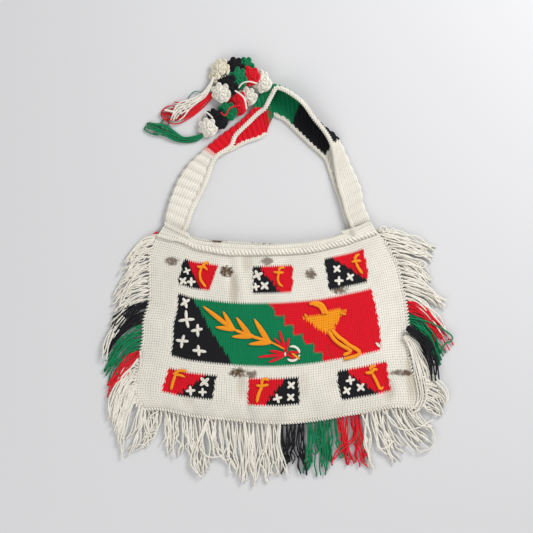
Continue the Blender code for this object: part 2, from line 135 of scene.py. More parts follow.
# Fringes: for each lock its comb, where it leaves the edge (y at the sides, x below), and its tip.
LEFT_FRINGE = (
    ("fringe_left_white_top", 42.5, -197, 26),
    ("fringe_left_white_top", 28.5, -209, 5.5),
    ("fringe_left_white_top", 9.5, -211, -15),
    ("fringe_left_white_top", -11, -220, -40.5),
    ("fringe_left_white_top", -31, -223, -57),
    ("fringe_left_black", -47, -225, -77),
    ("fringe_left_black", -61, -233, -104),
    ("fringe_left_green", -78.5, -234, -128),
    ("fringe_left_green", -97, -232, -147),
    ("fringe_left_red", -113.5, -227, -161),
    ("fringe_left_white_low", -126, -227, -191.5),
    ("fringe_left_white_low", -143, -222, -208),
    ("fringe_left_white_low", -164.5, -215, -233),
)
BOTTOM_FRINGE = (
    ("fringe_bottom_white_left", -177, -206, -251),
    ("fringe_bottom_white_left", -160.5, -175.5, -236),
    ("fringe_bottom_white_left", -143, -146, -246),
    ("fringe_bottom_white_left", -125.5, -123, -248),
    ("fringe_bottom_white_left", -108, -100, -280),
    ("fringe_bottom_white_left", -86.5, -77, -253),
    ("fringe_bottom_white_left", -66, -52.5, -276),
    ("fringe_bottom_white_left", -46, -36.5, -289),
    ("fringe_bottom_white_left", -25.5, -20, -287),
    ("fringe_bottom_white_left", -5.5, 1, -280),
    ("fringe_bottom_black", 15, 17, -258),
    ("fringe_bottom_black", 31, 34, -273),
    ("fringe_bottom_green", 46, 50, -276),
    ("fringe_bottom_green", 59.5, 66, -274),
    ("fringe_bottom_green", 73, 83, -263),
    ("fringe_bottom_red", 88, 98.5, -266),
    ("fringe_bottom_red", 105.5, 117, -265),
    ("fringe_bottom_white_right", 121.5, 133.5, -268),
    ("fringe_bottom_white_right", 136.5, 157, -262),
    ("fringe_bottom_white_right", 152.5, 185, -244),
    ("fringe_bottom_white_right", 169, 209, -240),
    ("fringe_bottom_white_right", 183.5, 216, -216),
)
RIGHT_FRINGE = (
    ("fringe_right_white_low", -174, 222, -196),
    ("fringe_right_white_low", -156.5, 229, -168),
    ("fringe_right_white_low", -140.5, 221, -156),
    ("fringe_right_white_low", -123, 207, -140),
    ("fringe_right_white_low", -98.5, 197, -116),
    ("fringe_right_black", -79.5, 215, -129),
    ("fringe_right_green", -63.5, 222, -123),
    ("fringe_right_red", -47, 235, -100),
    ("fringe_right_white_top", -28.5, 226, -68),
    ("fringe_right_white_top", -12, 227, -42),
    ("fringe_right_white_top", 7, 205, -17),
    ("fringe_right_white_top", 24.5, 210, 0),
    ("fringe_right_white_top", 42, 218, 23),
    ("fringe_right_white_top", 54, 216, 30),
)

# Yarns that stray, curl or lie over their neighbours: comb, height, how many side by side, their
# distance, and the route from the edge.
STRAYS = (
    ("fringe_bottom_white_left", 5, 3, 2.6, ((-183, -176), (-188, -196), (-193, -214),
                                             (-203, -226))),
    ("fringe_bottom_white_left", 6, 2, 2.8, ((-181, -180), (-184, -204), (-186, -226),
                                             (-196, -242))),
    ("fringe_bottom_white_left", 5, 2, 3.0, ((-178, -184), (-177, -206), (-172, -224),
                                             (-175, -236))),
    ("fringe_left_white_low", 6, 3, 3.0, ((-189, -150), (-200, -172), (-210, -196),
                                          (-219, -216))),
    ("fringe_left_white_low", 7, 2, 3.0, ((-190, -166), (-198, -188), (-205, -212),
                                          (-213, -232))),
    ("fringe_left_white_top", 6, 1, 0, ((-170, 43), (-185, 34), (-193, 22), (-197, 12))),
    ("fringe_left_white_top", 7, 1, 0, ((-166, 47), (-181, 43), (-194, 29), (-206, 12))),
    ("fringe_left_white_top", 8, 1, 0, ((-183, -30), (-197, -37), (-205, -43), (-201, -49),
                                       (-197, -43), (-204, -38), (-212, -43))),
    ("fringe_left_white_top", 8, 4, 2.4, ((-206, -60), (-219, -76), (-228, -96), (-234, -118))),
    ("fringe_left_white_top", 8, 1, 0, ((-188, -50), (-199, -58), (-209, -73), (-220, -89))),
    ("fringe_left_black", 11, 5, 2.4, ((-174, -42), (-190, -51), (-207, -64), (-221, -80))),
    ("fringe_left_white_top", 8, 2, 3.0, ((-176, 8), (-190, -4), (-203, -24), (-213, -48))),
    ("fringe_left_red", 8, 1, 0, ((-186, -112), (-197, -127), (-205, -134), (-212, -142),
                                  (-209, -131), (-199, -126), (-201, -138), (-214, -146),
                                  (-226, -157))),
    ("fringe_left_red", 7, 1, 0, ((-184, -108), (-195, -121), (-206, -126), (-203, -136),
                                  (-210, -147), (-222, -149))),
    ("fringe_left_white_low", 8, 1, 0, ((-184, -106), (-183, -122), (-188, -138), (-197, -143),
                                        (-197, -131), (-190, -122), (-184, -130))),
    ("fringe_left_white_low", 7, 3, 2.4, ((-187, -117), (-203, -136), (-217, -158), (-225, -179),
                                          (-224, -196))),
    ("fringe_left_white_low", 5, 2, 3.0, ((-193, -160), (-199, -185), (-208, -215), (-209, -252))),
    ("fringe_bottom_white_left", 6, 1, 0, ((-160, -188), (-170, -194), (-176, -205), (-170, -215),
                                           (-162, -210), (-163, -200), (-172, -195))),
    ("fringe_bottom_white_left", 7, 3, 2.6, ((-92, -197), (-103, -224), (-112, -249),
                                             (-112, -262), (-101, -277))),
    ("fringe_bottom_white_left", 7, 1, 0, ((-104, -236), (-96, -247), (-86, -250), (-74, -247),
                                           (-67, -235))),
    ("fringe_bottom_white_left", 6, 1, 0, ((-82, -236), (-77, -247), (-68, -254), (-62, -251),
                                           (-64, -262), (-62, -272))),
    ("fringe_bottom_white_left", 7, 3, 2.4, ((-44, -202), (-41, -228), (-42, -252), (-46, -285))),
    ("fringe_bottom_white_left", 7, 2, 2.8, ((-12, -204), (-14, -232), (-24, -256), (-31, -289))),
    ("fringe_bottom_white_left", 6, 2, 2.6, ((4, -204), (3, -232), (9, -258), (16, -277))),
    ("fringe_bottom_green", 7, 1, 0, ((57, -200), (61, -221), (58, -236), (51, -246), (47, -236),
                                      (53, -224), (62, -226), (66, -252))),
    ("fringe_bottom_red", 8, 2, 3.0, ((107, -195), (106, -222), (86, -238), (76, -251),
                                      (73, -260))),
    ("fringe_bottom_white_right", 7, 1, 0, ((114, -192), (123, -210), (127, -227), (123, -247),
                                            (131, -268))),
    ("fringe_bottom_white_right", 7, 1, 0, ((142, -187), (159, -204), (167, -221), (186, -243))),
    ("fringe_bottom_white_right", 6, 1, 0, ((128, -189), (134, -214), (136, -236), (147, -237),
                                            (158, -227))),
    ("fringe_bottom_white_right", 8, 1, 0, ((146, -186), (155, -204), (173, -213), (193, -209),
                                            (210, -199))),
    ("fringe_bottom_white_right", 8, 1, 0, ((176, -186), (190, -205), (206, -210), (213, -226),
                                            (206, -238), (190, -243))),
    ("fringe_right_white_top", 7, 1, 0, ((137, 56), (141, 61), (147, 60), (146, 54), (140, 54),
                                         (149, 51), (154, 58), (159, 56), (156, 50), (149, 50))),
    ("fringe_right_white_top", 8, 1, 0, ((168, 22), (182, 18), (195, 15), (201, 9), (194, 5),
                                         (190, 11), (198, 14))),
    ("fringe_right_white_top", 7, 1, 0, ((170, 10), (188, 8), (196, 3), (194, -6), (187, -12),
                                         (176, -10))),
    ("fringe_right_white_top", 7, 1, 0, ((172, -18), (200, -29), (229, -39))),
    ("fringe_right_white_top", 6, 2, 2.0, ((172, -2), (190, -4), (198, -12), (199, -24))),
    ("fringe_right_black", 12, 7, 2.1, ((174, -75), (188, -84), (203, -100), (210, -122),
                                        (212, -147))),
    ("fringe_right_black", 14, 3, 2.4, ((175, -78), (190, -90), (200, -106), (207, -130))),
    ("fringe_right_green", 8, 1, 0, ((178, -62), (205, -68), (233, -84), (235, -93), (226, -97),
                                     (221, -108))),
    ("fringe_right_white_low", 9, 6, 2.3, ((171, -86), (180, -98), (187, -118), (193, -143),
                                           (196, -166), (190, -182), (179, -190))),
    ("fringe_right_white_low", 8, 5, 2.4, ((175, -86), (192, -101), (204, -123), (207, -148))),
    ("fringe_right_white_low", 8, 2, 3.0, ((180, -100), (205, -135), (225, -157), (229, -172),
                                           (224, -181))),
)

# Yarn flowers, strand by strand: name, yarn, place of the middle, lift over another strand.
STRANDS = (
    (
        ("puff_a1_green", "green", -41, 279, 0),
        ("puff_a2_black", "black", -56.5, 278.5, 0),
        ("puff_a3_white", "cream", -75.5, 273.5, 0),
    ),
    (
        ("puff_b1_white", "white", -18.5, 259, 6),
        ("puff_b2_red", "red", -34, 265.5, 8),
        ("puff_b3_green", "green", -50.5, 262, 6),
        ("puff_b4_black", "black", -64, 254.5, 4),
        ("puff_b5_white", "white", -73.5, 244, 2.5),
    ),
    (
        ("puff_c1_white", "white", -38, 239, 2),
        ("puff_c2_red", "red", -50.5, 229, 0),
        ("puff_c3_green", "green", -65, 219, 0),
        ("puff_c4_black", "black", -79, 209, 0),
        ("puff_c5_white", "white", -91, 198, 0),
    ),
)

# Tassels: name, yarn, underside, and middle line with full width, from the knot to the loops.
TASSELS = (
    (
        "tassel_white", "white", TASSEL_THICKNESS + GAP,
        ((-85, 262, 4), (-89, 252.5, 5), (-97, 239.5, 8), (-108, 231, 11), (-120, 223.5, 16),
         (-132.5, 214.5, 18), (-142.5, 198.5, 6)),
    ),
    (
        "tassel_red", "red", 0.0,
        ((-86.5, 240.5, 7), (-95.5, 231, 10), (-106.5, 221, 12), (-120, 213.5, 20),
         (-134, 210.5, 24), (-148, 213, 18), (-156.5, 214.5, 8)),
    ),
    (
        "tassel_green", "green", 0.0,
        ((-100.5, 183.5, 7), (-108.5, 179.5, 10), (-124.5, 177.5, 11), (-138, 181.5, 15),
         (-154, 189.5, 17), (-167, 195, 15), (-179, 197.5, 9)),
    ),
)

# Loose ends at the yarn flowers and tassels: yarn, radius, and a route with its heights.
TAILS = (
    ("white", 1.1, ((-51, 245, 24), (-46, 250.5, 27), (-37, 252.5, 29), (-26.5, 250, 28))),
    ("white", 1.2, ((-56, 241.5, 22), (-48, 236, 24), (-43, 229.5, 24), (-40.5, 217, 20))),
    ("white", 1.1, ((-86, 206, 14), (-95, 213.5, 12), (-102, 209, 6), (-105, 200, 2))),
    ("red", 1.0, ((-50, 222, 21), (-62.5, 218.5, 21), (-69, 208.5, 20), (-75, 213, 19))),
    ("red", 0.9, ((-114, 230, 4), (-127, 227.5, 5), (-138, 228.8, 2))),
    ("red", 0.9, ((-133, 218, 4), (-140, 223.4, 4), (-149, 222, 3), (-155.5, 215.6, 2),
                  (-155, 209, 2), (-146, 205, 3), (-136, 207, 4))),
    ("green", 0.55, ((-84, 264, 6), (-93.5, 247.5, 5), (-100.5, 242, 4), (-110.7, 243, 2),
                     (-117.5, 237, 2), (-119.5, 231, 4))),
    ("green", 0.9, ((-150, 192, 4), (-154.5, 198, 3), (-155, 202.6, 2), (-151, 206, 1.5),
                    (-146.5, 203.3, 1.5), (-146.5, 197, 3), (-149, 191, 4))),
    ("green", 0.9, ((-160, 184, 3), (-172.3, 187.2, 2), (-178.7, 192.4, 1.5), (-175, 196.3, 2),
                    (-165, 195, 4), (-152, 188, 5))),
    ("white", 1.6, ((-151, 217.5, 8), (-145, 216.2, 9), (-138, 214.6, 9))),
    ("red", 1.7, ((-171, 45.5, 4), (-168, 48, 4.5), (-163.5, 50.5, 4))),
    ("red", 1.4, ((-168, 47.5, 3.5), (-165, 51, 4), (-161, 53.5, 3.5))),
)

# ---------------------------------------------------------------------------------------------
# The design worked into the front
# ---------------------------------------------------------------------------------------------

YARNS = ("white", "black", "green", "red", "gold", "cream")
CLOTH_YARNS = YARNS[:5]
WHITE, BLACK, GREEN, RED, GOLD = range(len(CLOTH_YARNS))

# Blocks of colour, in shares of the front's width and height: lowest and highest course, left
# and right side at the bottom and at the top, diagonals and the yarns between them. A diagonal
# is given by the shares of the block's width where it meets the bottom and the top, and by how
# many courses high its steps are.
Block = namedtuple("Block", "low high left right diagonals yarns")
BLOCKS = (
    Block(0.336, 0.693, (0.113, 0.114), (0.897, 0.876), ((0.303, 0.083, 1), (0.757, 0.471, 4)),
          (BLACK, GREEN, RED)),
    Block(0.751, 0.919, (0.115, 0.148), (0.246, 0.293), ((0.72, 0.10, 1),), (BLACK, RED)),
    Block(0.752, 0.910, (0.416, 0.432), (0.569, 0.597), ((0.72, 0.20, 2),), (BLACK, RED)),
    Block(0.748, 0.922, (0.711, 0.731), (0.870, 0.898), ((0.98, 0.21, 1),), (BLACK, RED)),
    Block(0.126, 0.272, (0.103, 0.117), (0.281, 0.293), ((0.27, 0.75, 2),), (RED, BLACK)),
    Block(0.110, 0.273, (0.401, 0.412), (0.583, 0.588), ((0.28, 0.73, 2),), (RED, BLACK)),
    Block(0.107, 0.266, (0.724, 0.729), (0.896, 0.915), ((0.74, 0.20, 2),), (BLACK, RED)),
)
# The big bird's body, worked in gold loops: lowest and highest course, left and right stitch.
BIRD_BODY = (
    (0.612, 0.628, 0.690, 0.745), (0.600, 0.616, 0.600, 0.765), (0.583, 0.602, 0.612, 0.752),
    (0.565, 0.585, 0.626, 0.740), (0.548, 0.567, 0.640, 0.733), (0.530, 0.550, 0.655, 0.720),
    (0.512, 0.532, 0.668, 0.726), (0.495, 0.514, 0.680, 0.712),
)

# Stars: middle and the tips of the four petals from there.
BIG_STARS = (
    ((-123, -40.8), ((-3, 5.4), (5.9, 3.5), (-5.9, -4), (2, -7.9))),
    ((-121.5, -64.1), ((-0.5, 12.4), (-10.4, -2), (10.9, 0.5), (3, -10.9))),
    ((-106.6, -77.9), ((0.5, 7.9), (-8.4, -1.5), (6.9, 1.5), (1, -8.9))),
    ((-127.2, -92.8), ((2.7, 7.9), (-8.2, 1), (8.6, -0.5), (-1.1, -9.4))),
    ((-104.7, -105.7), ((-1, 7.4), (-8.4, 0.5), (9.9, -1.5), (0.5, -6.9))),
)
# Small stars: middle, reach of a petal, turn in degrees.
SMALL_STARS = (
    (-120.8, 0.9, 5.0, 20), (-126, -12.4, 6.0, 50), (-114.9, -13.5, 6.0, 0),
    (-25.9, -4.7, 7.2, 25), (-28.3, -20.2, 5.4, 10), (-16.6, -18.6, 6.6, 45),
    (80.2, 3.8, 6.0, 50), (98, -7, 6.0, 35), (83, -12, 6.0, 0),
    (-97.1, -147.7, 7.5, 40), (-116, -159.7, 6.4, 5), (-99.8, -161.5, 5.5, 0),
    (19, -151.9, 6.2, 40), (0.8, -169.8, 6.4, 15), (18.4, -168.3, 6.2, 45),
    (98.3, -145.6, 6.2, 10), (112.3, -155.1, 6.6, 50), (93.8, -159.6, 6.2, 35),
)
# Leaves and stems of the gold branch: root, tip, full width.
LEAVES = (
    ((-66.2, -71.6), (-98.7, -46.3), 7.2), ((-58, -79), (-72, -53.2), 7.6),
    ((-56.2, -77), (-82, -74), 7.6), ((-35.4, -86.8), (-54.1, -61.2), 8),
    ((-31.5, -85.9), (-59.7, -86.8), 8), ((-10.8, -94.5), (-30.4, -63), 8.8),
    ((-7.7, -93.8), (-37.4, -96.8), 8),
)
STEMS = (
    ((-67, -71), (-56, -78), 4.4), ((-57, -77.5), (-34, -86.5), 4.2),
    ((-35, -86), (-11, -93), 4.4), ((-10, -93), (10.5, -103.5), 2.6),
)
# The red flower's petals: root, tip, full width. Its white ring: middle, radius, shown arcs.
PETALS = (
    ((11.2, -104.3), (3.5, -79), 4), ((10.5, -103.5), (-3.8, -88.8), 3.4),
    ((12.8, -103.3), (15.9, -88.8), 3.8), ((9, -109), (-9.6, -105.5), 4.4),
    ((9.5, -110.5), (-25, -114.1), 4), ((10.2, -112), (-10.6, -121), 4.4),
    ((16.4, -107), (29.8, -108), 4), ((15.5, -110), (23.6, -117), 4),
    ((10.5, -104), (14.5, -112.5), 6),
)
FLOWER_RING = (20.5, -109.3, 9.6)
RING_ARCS = ((5, 110), (168, 200), (228, 318), (332, 352))
FLOWER_CORE = ((19.5, -108.5), (30.3, -116.7), 3.4)
# Birds in gold chain stitch: routes with a width.
BIG_BIRD = (
    (5.2, ((43.5, -43.2), (50, -42), (57, -42.4), (62, -46.5), (66.5, -56.5))),
    (4.2, ((49, -44.5), (55, -45.4), (59.5, -50), (62.5, -57))),
    (5.0, ((69, -79), (75.6, -89.4), (83.8, -96.7), (93.6, -102.4), (98.4, -105.7),
           (95.3, -109), (88.7, -111.4))),
    (5.2, ((73.2, -77.5), (82.2, -86.9), (88.7, -91.5), (96.9, -98.3), (107, -104.1),
           (110.6, -108.1), (107.4, -112), (98.6, -114.7), (89.6, -117.2))),
    (3.0, ((41, -61), (36.8, -56.4))),
    (3.0, ((85, -55.4), (92.4, -57.2))),
)
SMALL_BIRDS = (
    (3.4, ((-106.9, 7.2), (-101, 6.2), (-98, 9.5), (-95.8, 11.8), (-91.4, 12.4))),
    (2.8, ((-101, 6), (-97, 6), (-93.2, 2.4))),
    (2.8, ((-101.2, 5), (-103.3, -2), (-102.4, -10), (-99, -15.5), (-95.4, -20.3))),
    (2.8, ((-4.4, -0.4), (2.5, -1.2), (8.9, -0.8))),
    (2.8, ((2.5, -1), (3.3, 4), (6, 5.8), (9.9, 5.2))),
    (2.6, ((2.7, -1.6), (1, -9), (3, -16), (7.6, -19.6))),
    (3.2, ((100.4, 13.1), (106, 14.4), (112.8, 14.6))),
    (3.2, ((105, 14), (104.8, 19), (107.6, 22), (110.6, 23.4))),
    (3.2, ((105.5, 13), (109, 5.5), (114.6, -2.6))),
    (3.2, ((-139.4, -137.4), (-135.5, -135.6), (-130.1, -132.6), (-121, -133.4))),
    (2.8, ((-137.5, -139), (-131, -138.4), (-123.6, -141))),
    (3.4, ((-136, -138), (-139.6, -148), (-142, -158.3))),
    (3.2, ((-27.7, -152), (-20, -152.8), (-11.4, -151))),
    (3.2, ((-20, -152), (-20, -146.4), (-16, -143.2), (-10.9, -145.4))),
    (3.4, ((-19.2, -152.6), (-24.3, -163), (-27, -174.8))),
    (3.6, ((118.7, -135.6), (126.8, -135), (130, -131), (134.8, -131.6))),
    (3.0, ((126, -133.5), (125.4, -129), (128.5, -127), (132.6, -126))),
    (3.4, ((127.6, -136), (134, -147.6), (138.4, -157), (143, -155))),
)
# Small white finishing loops at the long block's right end: ends of each loop.
END_LOOPS = (((132.6, -95.6), (138.6, -99.4)), ((134.2, -98), (139.2, -101)))
# Brown-grey smudges on the white cloth: middle, half width, half height, strength.
SMUDGES = (
    (-142, 14.3, 9.5, 6.4, 0.85), (-67.5, 0.4, 9, 8, 1.0), (-13.5, 14, 9, 5.4, 0.75),
    (45.9, -3.1, 8, 7.5, 0.9), (82.9, -23.8, 11.5, 6.4, 0.9), (-52.6, -135, 11.5, 6.6, 1.0),
    (-34.4, -137.7, 8, 6.2, 0.85), (162, -135.6, 10, 4.2, 0.85), (175, -136.4, 9.5, 4.6, 0.95),
    (-78, 43, 12, 4, 1.0), (-11, 41.5, 26, 4, 1.0),
)
# Soft hollows and ridges of the front: place across and up, half width, half length, height.
CREASES = (
    (0.335, 0.86, 0.016, 0.14, -2.6), (0.375, 0.84, 0.016, 0.16, 1.6),
    (0.395, 0.12, 0.014, 0.12, -2.4), (0.43, 0.14, 0.018, 0.12, 1.4),
    (0.885, 0.1, 0.018, 0.14, -2.6), (0.925, 0.12, 0.02, 0.14, 1.6),
    (0.62, 0.06, 0.02, 0.08, -1.4), (0.2, 0.07, 0.02, 0.09, -1.4), (0.28, 0.06, 0.02, 0.08, 1.0),
    (0.52, 0.07, 0.02, 0.08, 1.1), (0.75, 0.08, 0.025, 0.08, 1.0), (0.12, 0.5, 0.03, 0.4, -1.2),
    (0.57, 0.9, 0.02, 0.1, -1.2), (0.08, 0.9, 0.03, 0.1, -1.2), (0.96, 0.45, 0.02, 0.3, -1.6),
)
# Painted shade in faint tan along soft creases: middle, half width, half height, strength.
PAINTED_CREASE_SHADES = (
    (-58, -25, 7, 26, 0.4), (-48, -150, 6, 22, 0.3), (150, -160, 9, 16, 0.3),
    (182, -130, 9, 50, 0.45), (-120, -163, 10, 20, 0.2), (-40, 12, 9, 12, 0.25),
    (-83, 32, 10, 8, 0.2), (35, -150, 10, 16, 0.16),
)

# ---------------------------------------------------------------------------------------------
# Lines and edges
# ---------------------------------------------------------------------------------------------


def unit(vectors):
    return vectors / np.maximum(np.linalg.norm(vectors, axis=-1, keepdims=True), 1e-9)


def smooth_rows(rows, places):
    """Rows on the smooth line through a table's rows, at places from 0 to len(rows) - 1."""
    rows = np.asarray(rows, float)
    places = np.asarray(places, float)
    last = len(rows) - 1
    i = np.clip(places.astype(int), 0, last - 1)
    t = (places - i)[..., None]
    a, b, c, d = rows[np.maximum(i - 1, 0)], rows[i], rows[i + 1], rows[np.minimum(i + 2, last)]
    cubic = 3 * b - a - 3 * c + d
    square = 2 * a - 5 * b + 4 * c - d
    return 0.5 * (2 * b + (c - a) * t + square * t**2 + cubic * t**3)


def running_length(points):
    steps = np.linalg.norm(np.diff(points, axis=0), axis=1)
    return np.concatenate([[0.0], np.cumsum(steps)])


def spaced_line(rows, spacing):
    """Points about spacing apart on the smooth line through the rows."""
    dense = smooth_rows(rows, np.linspace(0, len(rows) - 1, 16 * (len(rows) - 1) + 1))
    lengths = running_length(dense)
    count = max(3, int(round(lengths[-1] / spacing)) + 1)
    stops = np.linspace(0, lengths[-1], count)
    return np.stack([np.interp(stops, lengths, column) for column in dense.T], axis=1)


class Edge:
    """A smooth outline that gives points by share of its length, or by x or y."""

    def __init__(self, rows):
        self.points = smooth_rows(rows, np.linspace(0, len(rows) - 1, 12 * (len(rows) - 1) + 1))
        self.lengths = running_length(self.points)

    def _read(self, keys, values):
        return np.stack([np.interp(values, keys, column) for column in self.points.T], axis=-1)

    def at(self, shares):
        return self._read(self.lengths, np.asarray(shares) * self.lengths[-1])

    def at_coordinate(self, axis, values):
        return self._read(np.maximum.accumulate(self.points[:, axis]), values)


def front_height(across, up):
    """Middle of the front cloth: low at the side and bottom seams, high in the middle."""
    dome = (1 - np.abs(2 * across - 1) ** 2.6) * np.sin(0.78 * math.pi * up**0.75)
    pucker = 0.8 * np.sin(9 * math.pi * across) * (2 * up - 1) ** 2 * np.minimum(1.0, 6 * up)
    return SEAM_HEIGHT + BULGE * dome + pucker * dome


class Patch:
    """Cloth stretched between four edges, asked for points by shares across and up.

    inset is how far its bottom and its top edge are shifted up.
    """

    def __init__(self, left, right, bottom, top, height, inset=(0.0, 0.0)):
        self.edges = (left, right, bottom, top)
        self.height = height
        self.inset = inset

    def at(self, across, up):
        left, right, bottom, top = self.edges
        a, u = across[..., None], up[..., None]
        between = bottom.at(across) * (1 - u) + top.at(across) * u
        between = between + left.at(up) * (1 - a) + right.at(up) * a
        low = bottom.at(0.0) * (1 - a) + bottom.at(1.0) * a
        high = top.at(0.0) * (1 - a) + top.at(1.0) * a
        flat = between - low * (1 - u) - high * u
        shift = self.inset[0] * (1 - up) + self.inset[1] * up
        return np.stack([flat[..., 0], flat[..., 1] + shift, self.height(across, up)], axis=-1)


# ---------------------------------------------------------------------------------------------
# Meshes
# ---------------------------------------------------------------------------------------------


def add_piece(name, points, faces, finishes, which, replaced=(), uvs=None, loft=None):
    """A closed mesh piece of the bag, from points in millimetres.

    loft says how far up each point lies on its stitch, from 0 in the gaps to 1 on the yarn; the
    cloth's finish paints shade into the gaps from it.
    """
    mesh = bpy.data.meshes.new(name)
    mesh.from_pydata((np.asarray(points) * MM).tolist(), [], faces)
    mesh.polygons.foreach_set("material_index", np.asarray(which, np.int32))
    mesh.polygons.foreach_set("use_smooth", np.ones(len(faces), bool))
    if uvs is not None:
        layer = mesh.uv_layers.new(name="along_yarn")
        layer.data.foreach_set("uv", np.asarray(uvs, np.float32).ravel())
    if loft is not None:
        attribute = mesh.attributes.new("loft", "FLOAT", "POINT")
        attribute.data.foreach_set("value", np.asarray(loft, np.float32))
    for finish in finishes:
        mesh.materials.append(finish)
    mesh.update()
    piece = bpy.data.objects.new(name, mesh)
    bpy.context.scene.collection.objects.link(piece)
    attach(piece, "root")
    if replaced:
        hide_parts(*replaced)
    return piece


def grid_faces(rows, columns, start=0, flip=False):
    """Quads of a grid of rows by columns points."""
    i = (np.arange(rows - 1)[:, None] * columns + np.arange(columns - 1)[None, :]).ravel() + start
    quads = np.stack([i, i + 1, i + columns + 1, i + columns], axis=1)
    return quads[:, ::-1] if flip else quads


# Height of the yarn over a stitch, from its left side across both legs: at the foot of the
# stitch, and half a course further up.
STITCH_RELIEF = np.array(((0.0, 0.6, 0.2, 0.6), (0.35, 1.0, 0.5, 1.0)))
STITCH_COLUMNS = 4
STITCH_ROWS = 2
HALF_STITCH = STITCH_COLUMNS // 2  # the narrowest patch of one colour
# How high each sheet's stitches stand, as a share of the stitch relief that is set.
CLOTH_RELIEF = {
    "front_cloth": 1.0, "back_cloth": 0.8, "heading_front": 0.6, "heading_back": 0.5,
    "strap_cloth": 0.82,
}


def stitch_grid(stitches, courses, teeth):
    """Shares across and up and the relief for each point of a looped cloth."""
    i = np.arange(STITCH_COLUMNS * stitches + 1)
    j = np.arange(STITCH_ROWS * courses + 1)
    across, up = np.meshgrid(i / i[-1], j / STITCH_ROWS, indexing="xy")
    leg = np.abs(2 * (i % STITCH_COLUMNS) / STITCH_COLUMNS - 1)
    room = np.clip(np.minimum(up, courses - up), 0, 1)
    up = (up + teeth * (leg[None, :] - 0.5) * room) / courses
    relief = STITCH_RELIEF[j[:, None] % STITCH_ROWS, i[None, :] % STITCH_COLUMNS]
    return across, np.clip(up, 0, 1), relief


def surface_normals(points):
    along_rows = np.gradient(points, axis=1)
    along_columns = np.gradient(points, axis=0)
    return unit(np.cross(along_rows, along_columns))


def rim_faces(front_size, back_size, step, cloth_size, turned):
    """Faces that close a cloth's edges, and the stitch that each of them belongs to.

    Sizes are rows and columns. One step between points of the back spans step points in front.
    """
    rows, columns = front_size
    back_rows, back_columns = back_size
    step_row, step_column = step
    courses, stitches = cloth_size
    start = rows * columns
    rim, rim_index = [], []

    def close_rim(front_line, back_line, stitch, flip):
        ring = back_line + front_line[::-1]
        rim.append(ring[::-1] if flip != turned else ring)
        rim_index.append(stitch)

    for k in range(back_columns - 1):
        for row, back_row, flip in ((0, 0, False), (rows - 1, back_rows - 1, True)):
            front_line = [row * columns + k * step_column + s for s in range(step_column + 1)]
            back_line = [start + back_row * back_columns + k + s for s in (0, 1)]
            stitch = (k * step_column // HALF_STITCH, min(row // STITCH_ROWS, courses - 1))
            close_rim(front_line, back_line, stitch, flip)
    for k in range(back_rows - 1):
        for column, back_column, flip in ((0, 0, True), (columns - 1, back_columns - 1, False)):
            front_line = [(k * step_row + s) * columns + column for s in range(step_row + 1)]
            back_line = [start + (k + s) * back_columns + back_column for s in (0, 1)]
            stitch = (min(column // HALF_STITCH, 2 * stitches - 1), k * step_row // STITCH_ROWS)
            close_rim(front_line, back_line, stitch, flip)
    return rim, np.array(rim_index)


def looped_cloth(name, middle, size, thickness, replaced, colour_of=None, teeth=1.0,
                 two_sided=False, outer=1.0, lift=None):
    """A sheet of looped stitches; middle gives its middle surface by shares across and up.

    size is its stitches and courses. The side that outer points to carries the stitches, and
    the other is plain, or looped as well.
    """
    stitches, courses = size
    relief = bpy.context.scene.bilum_cloth.relief / MM * CLOTH_RELIEF[name]
    across, up, height = stitch_grid(stitches, courses, teeth)
    smooth = middle(across, up)
    normals = surface_normals(smooth) * outer
    if lift is not None:
        smooth = smooth + normals * lift(across, up)[..., None]
    rows, columns = across.shape
    face_side = smooth + normals * (thickness / 2 - relief * (1 - height))[..., None]
    points = [face_side.reshape(-1, 3)]
    faces = [grid_faces(rows, columns, flip=outer < 0)]
    stitch_index = [np.stack(np.meshgrid(
        np.arange(columns - 1) // HALF_STITCH, np.arange(rows - 1) // STITCH_ROWS,
    ), axis=-1).reshape(-1, 2)]
    if two_sided:
        back = smooth - normals * (thickness / 2 - relief * (1 - height))[..., None]
        step_row, step_column = 1, 1
        index = stitch_index[0]
    else:
        back = (smooth - normals * thickness / 2)[::STITCH_ROWS, ::STITCH_COLUMNS]
        step_row, step_column = STITCH_ROWS, STITCH_COLUMNS
        index = np.stack(np.meshgrid(2 * np.arange(stitches), np.arange(courses)), axis=-1)
        index = index.reshape(-1, 2)
    points.append(back.reshape(-1, 3))
    faces.append(grid_faces(*back.shape[:2], rows * columns, flip=outer > 0))
    stitch_index.append(index)
    rim, rim_index = rim_faces(
        (rows, columns), back.shape[:2], (step_row, step_column), (courses, stitches), outer < 0)
    quads = np.concatenate(faces)
    index = np.concatenate(stitch_index + [rim_index])
    if colour_of is None:
        which = np.zeros(len(index), int)
    else:
        a = (np.arange(2 * stitches) + 0.5) / (2 * stitches)
        u = (np.arange(courses) + 0.5) / courses
        stitch_across, stitch_up = np.meshgrid(a, u)
        chart = colour_of(stitch_across, stitch_up)
        which = chart[index[:, 1], index[:, 0]]
    back_height = height if two_sided else np.full(back.shape[:2], 0.7)
    loft = np.concatenate([height.ravel(), back_height.ravel()])
    return add_piece(
        name, np.concatenate(points), quads.tolist() + rim, cloth_finishes(), which, (replaced,),
        loft=loft)


def flat_area(middle, lift=None, rows=60, columns=120):
    """Area in square metres of a middle surface without its stitches, and its two longest sides."""
    across, up = np.meshgrid(np.linspace(0, 1, columns), np.linspace(0, 1, rows))
    points = middle(across, up) * MM
    if lift is not None:
        points = points + surface_normals(points) * (lift(across, up) * MM)[..., None]
    side_a = points[:-1, 1:] - points[:-1, :-1]
    side_b = points[1:, :-1] - points[:-1, :-1]
    area = np.linalg.norm(np.cross(side_a, side_b), axis=-1).sum()
    width = np.linalg.norm(np.diff(points, axis=1), axis=-1).sum(axis=1).max()
    length = np.linalg.norm(np.diff(points, axis=0), axis=-1).sum(axis=0).max()
    return float(area), float(width), float(length)


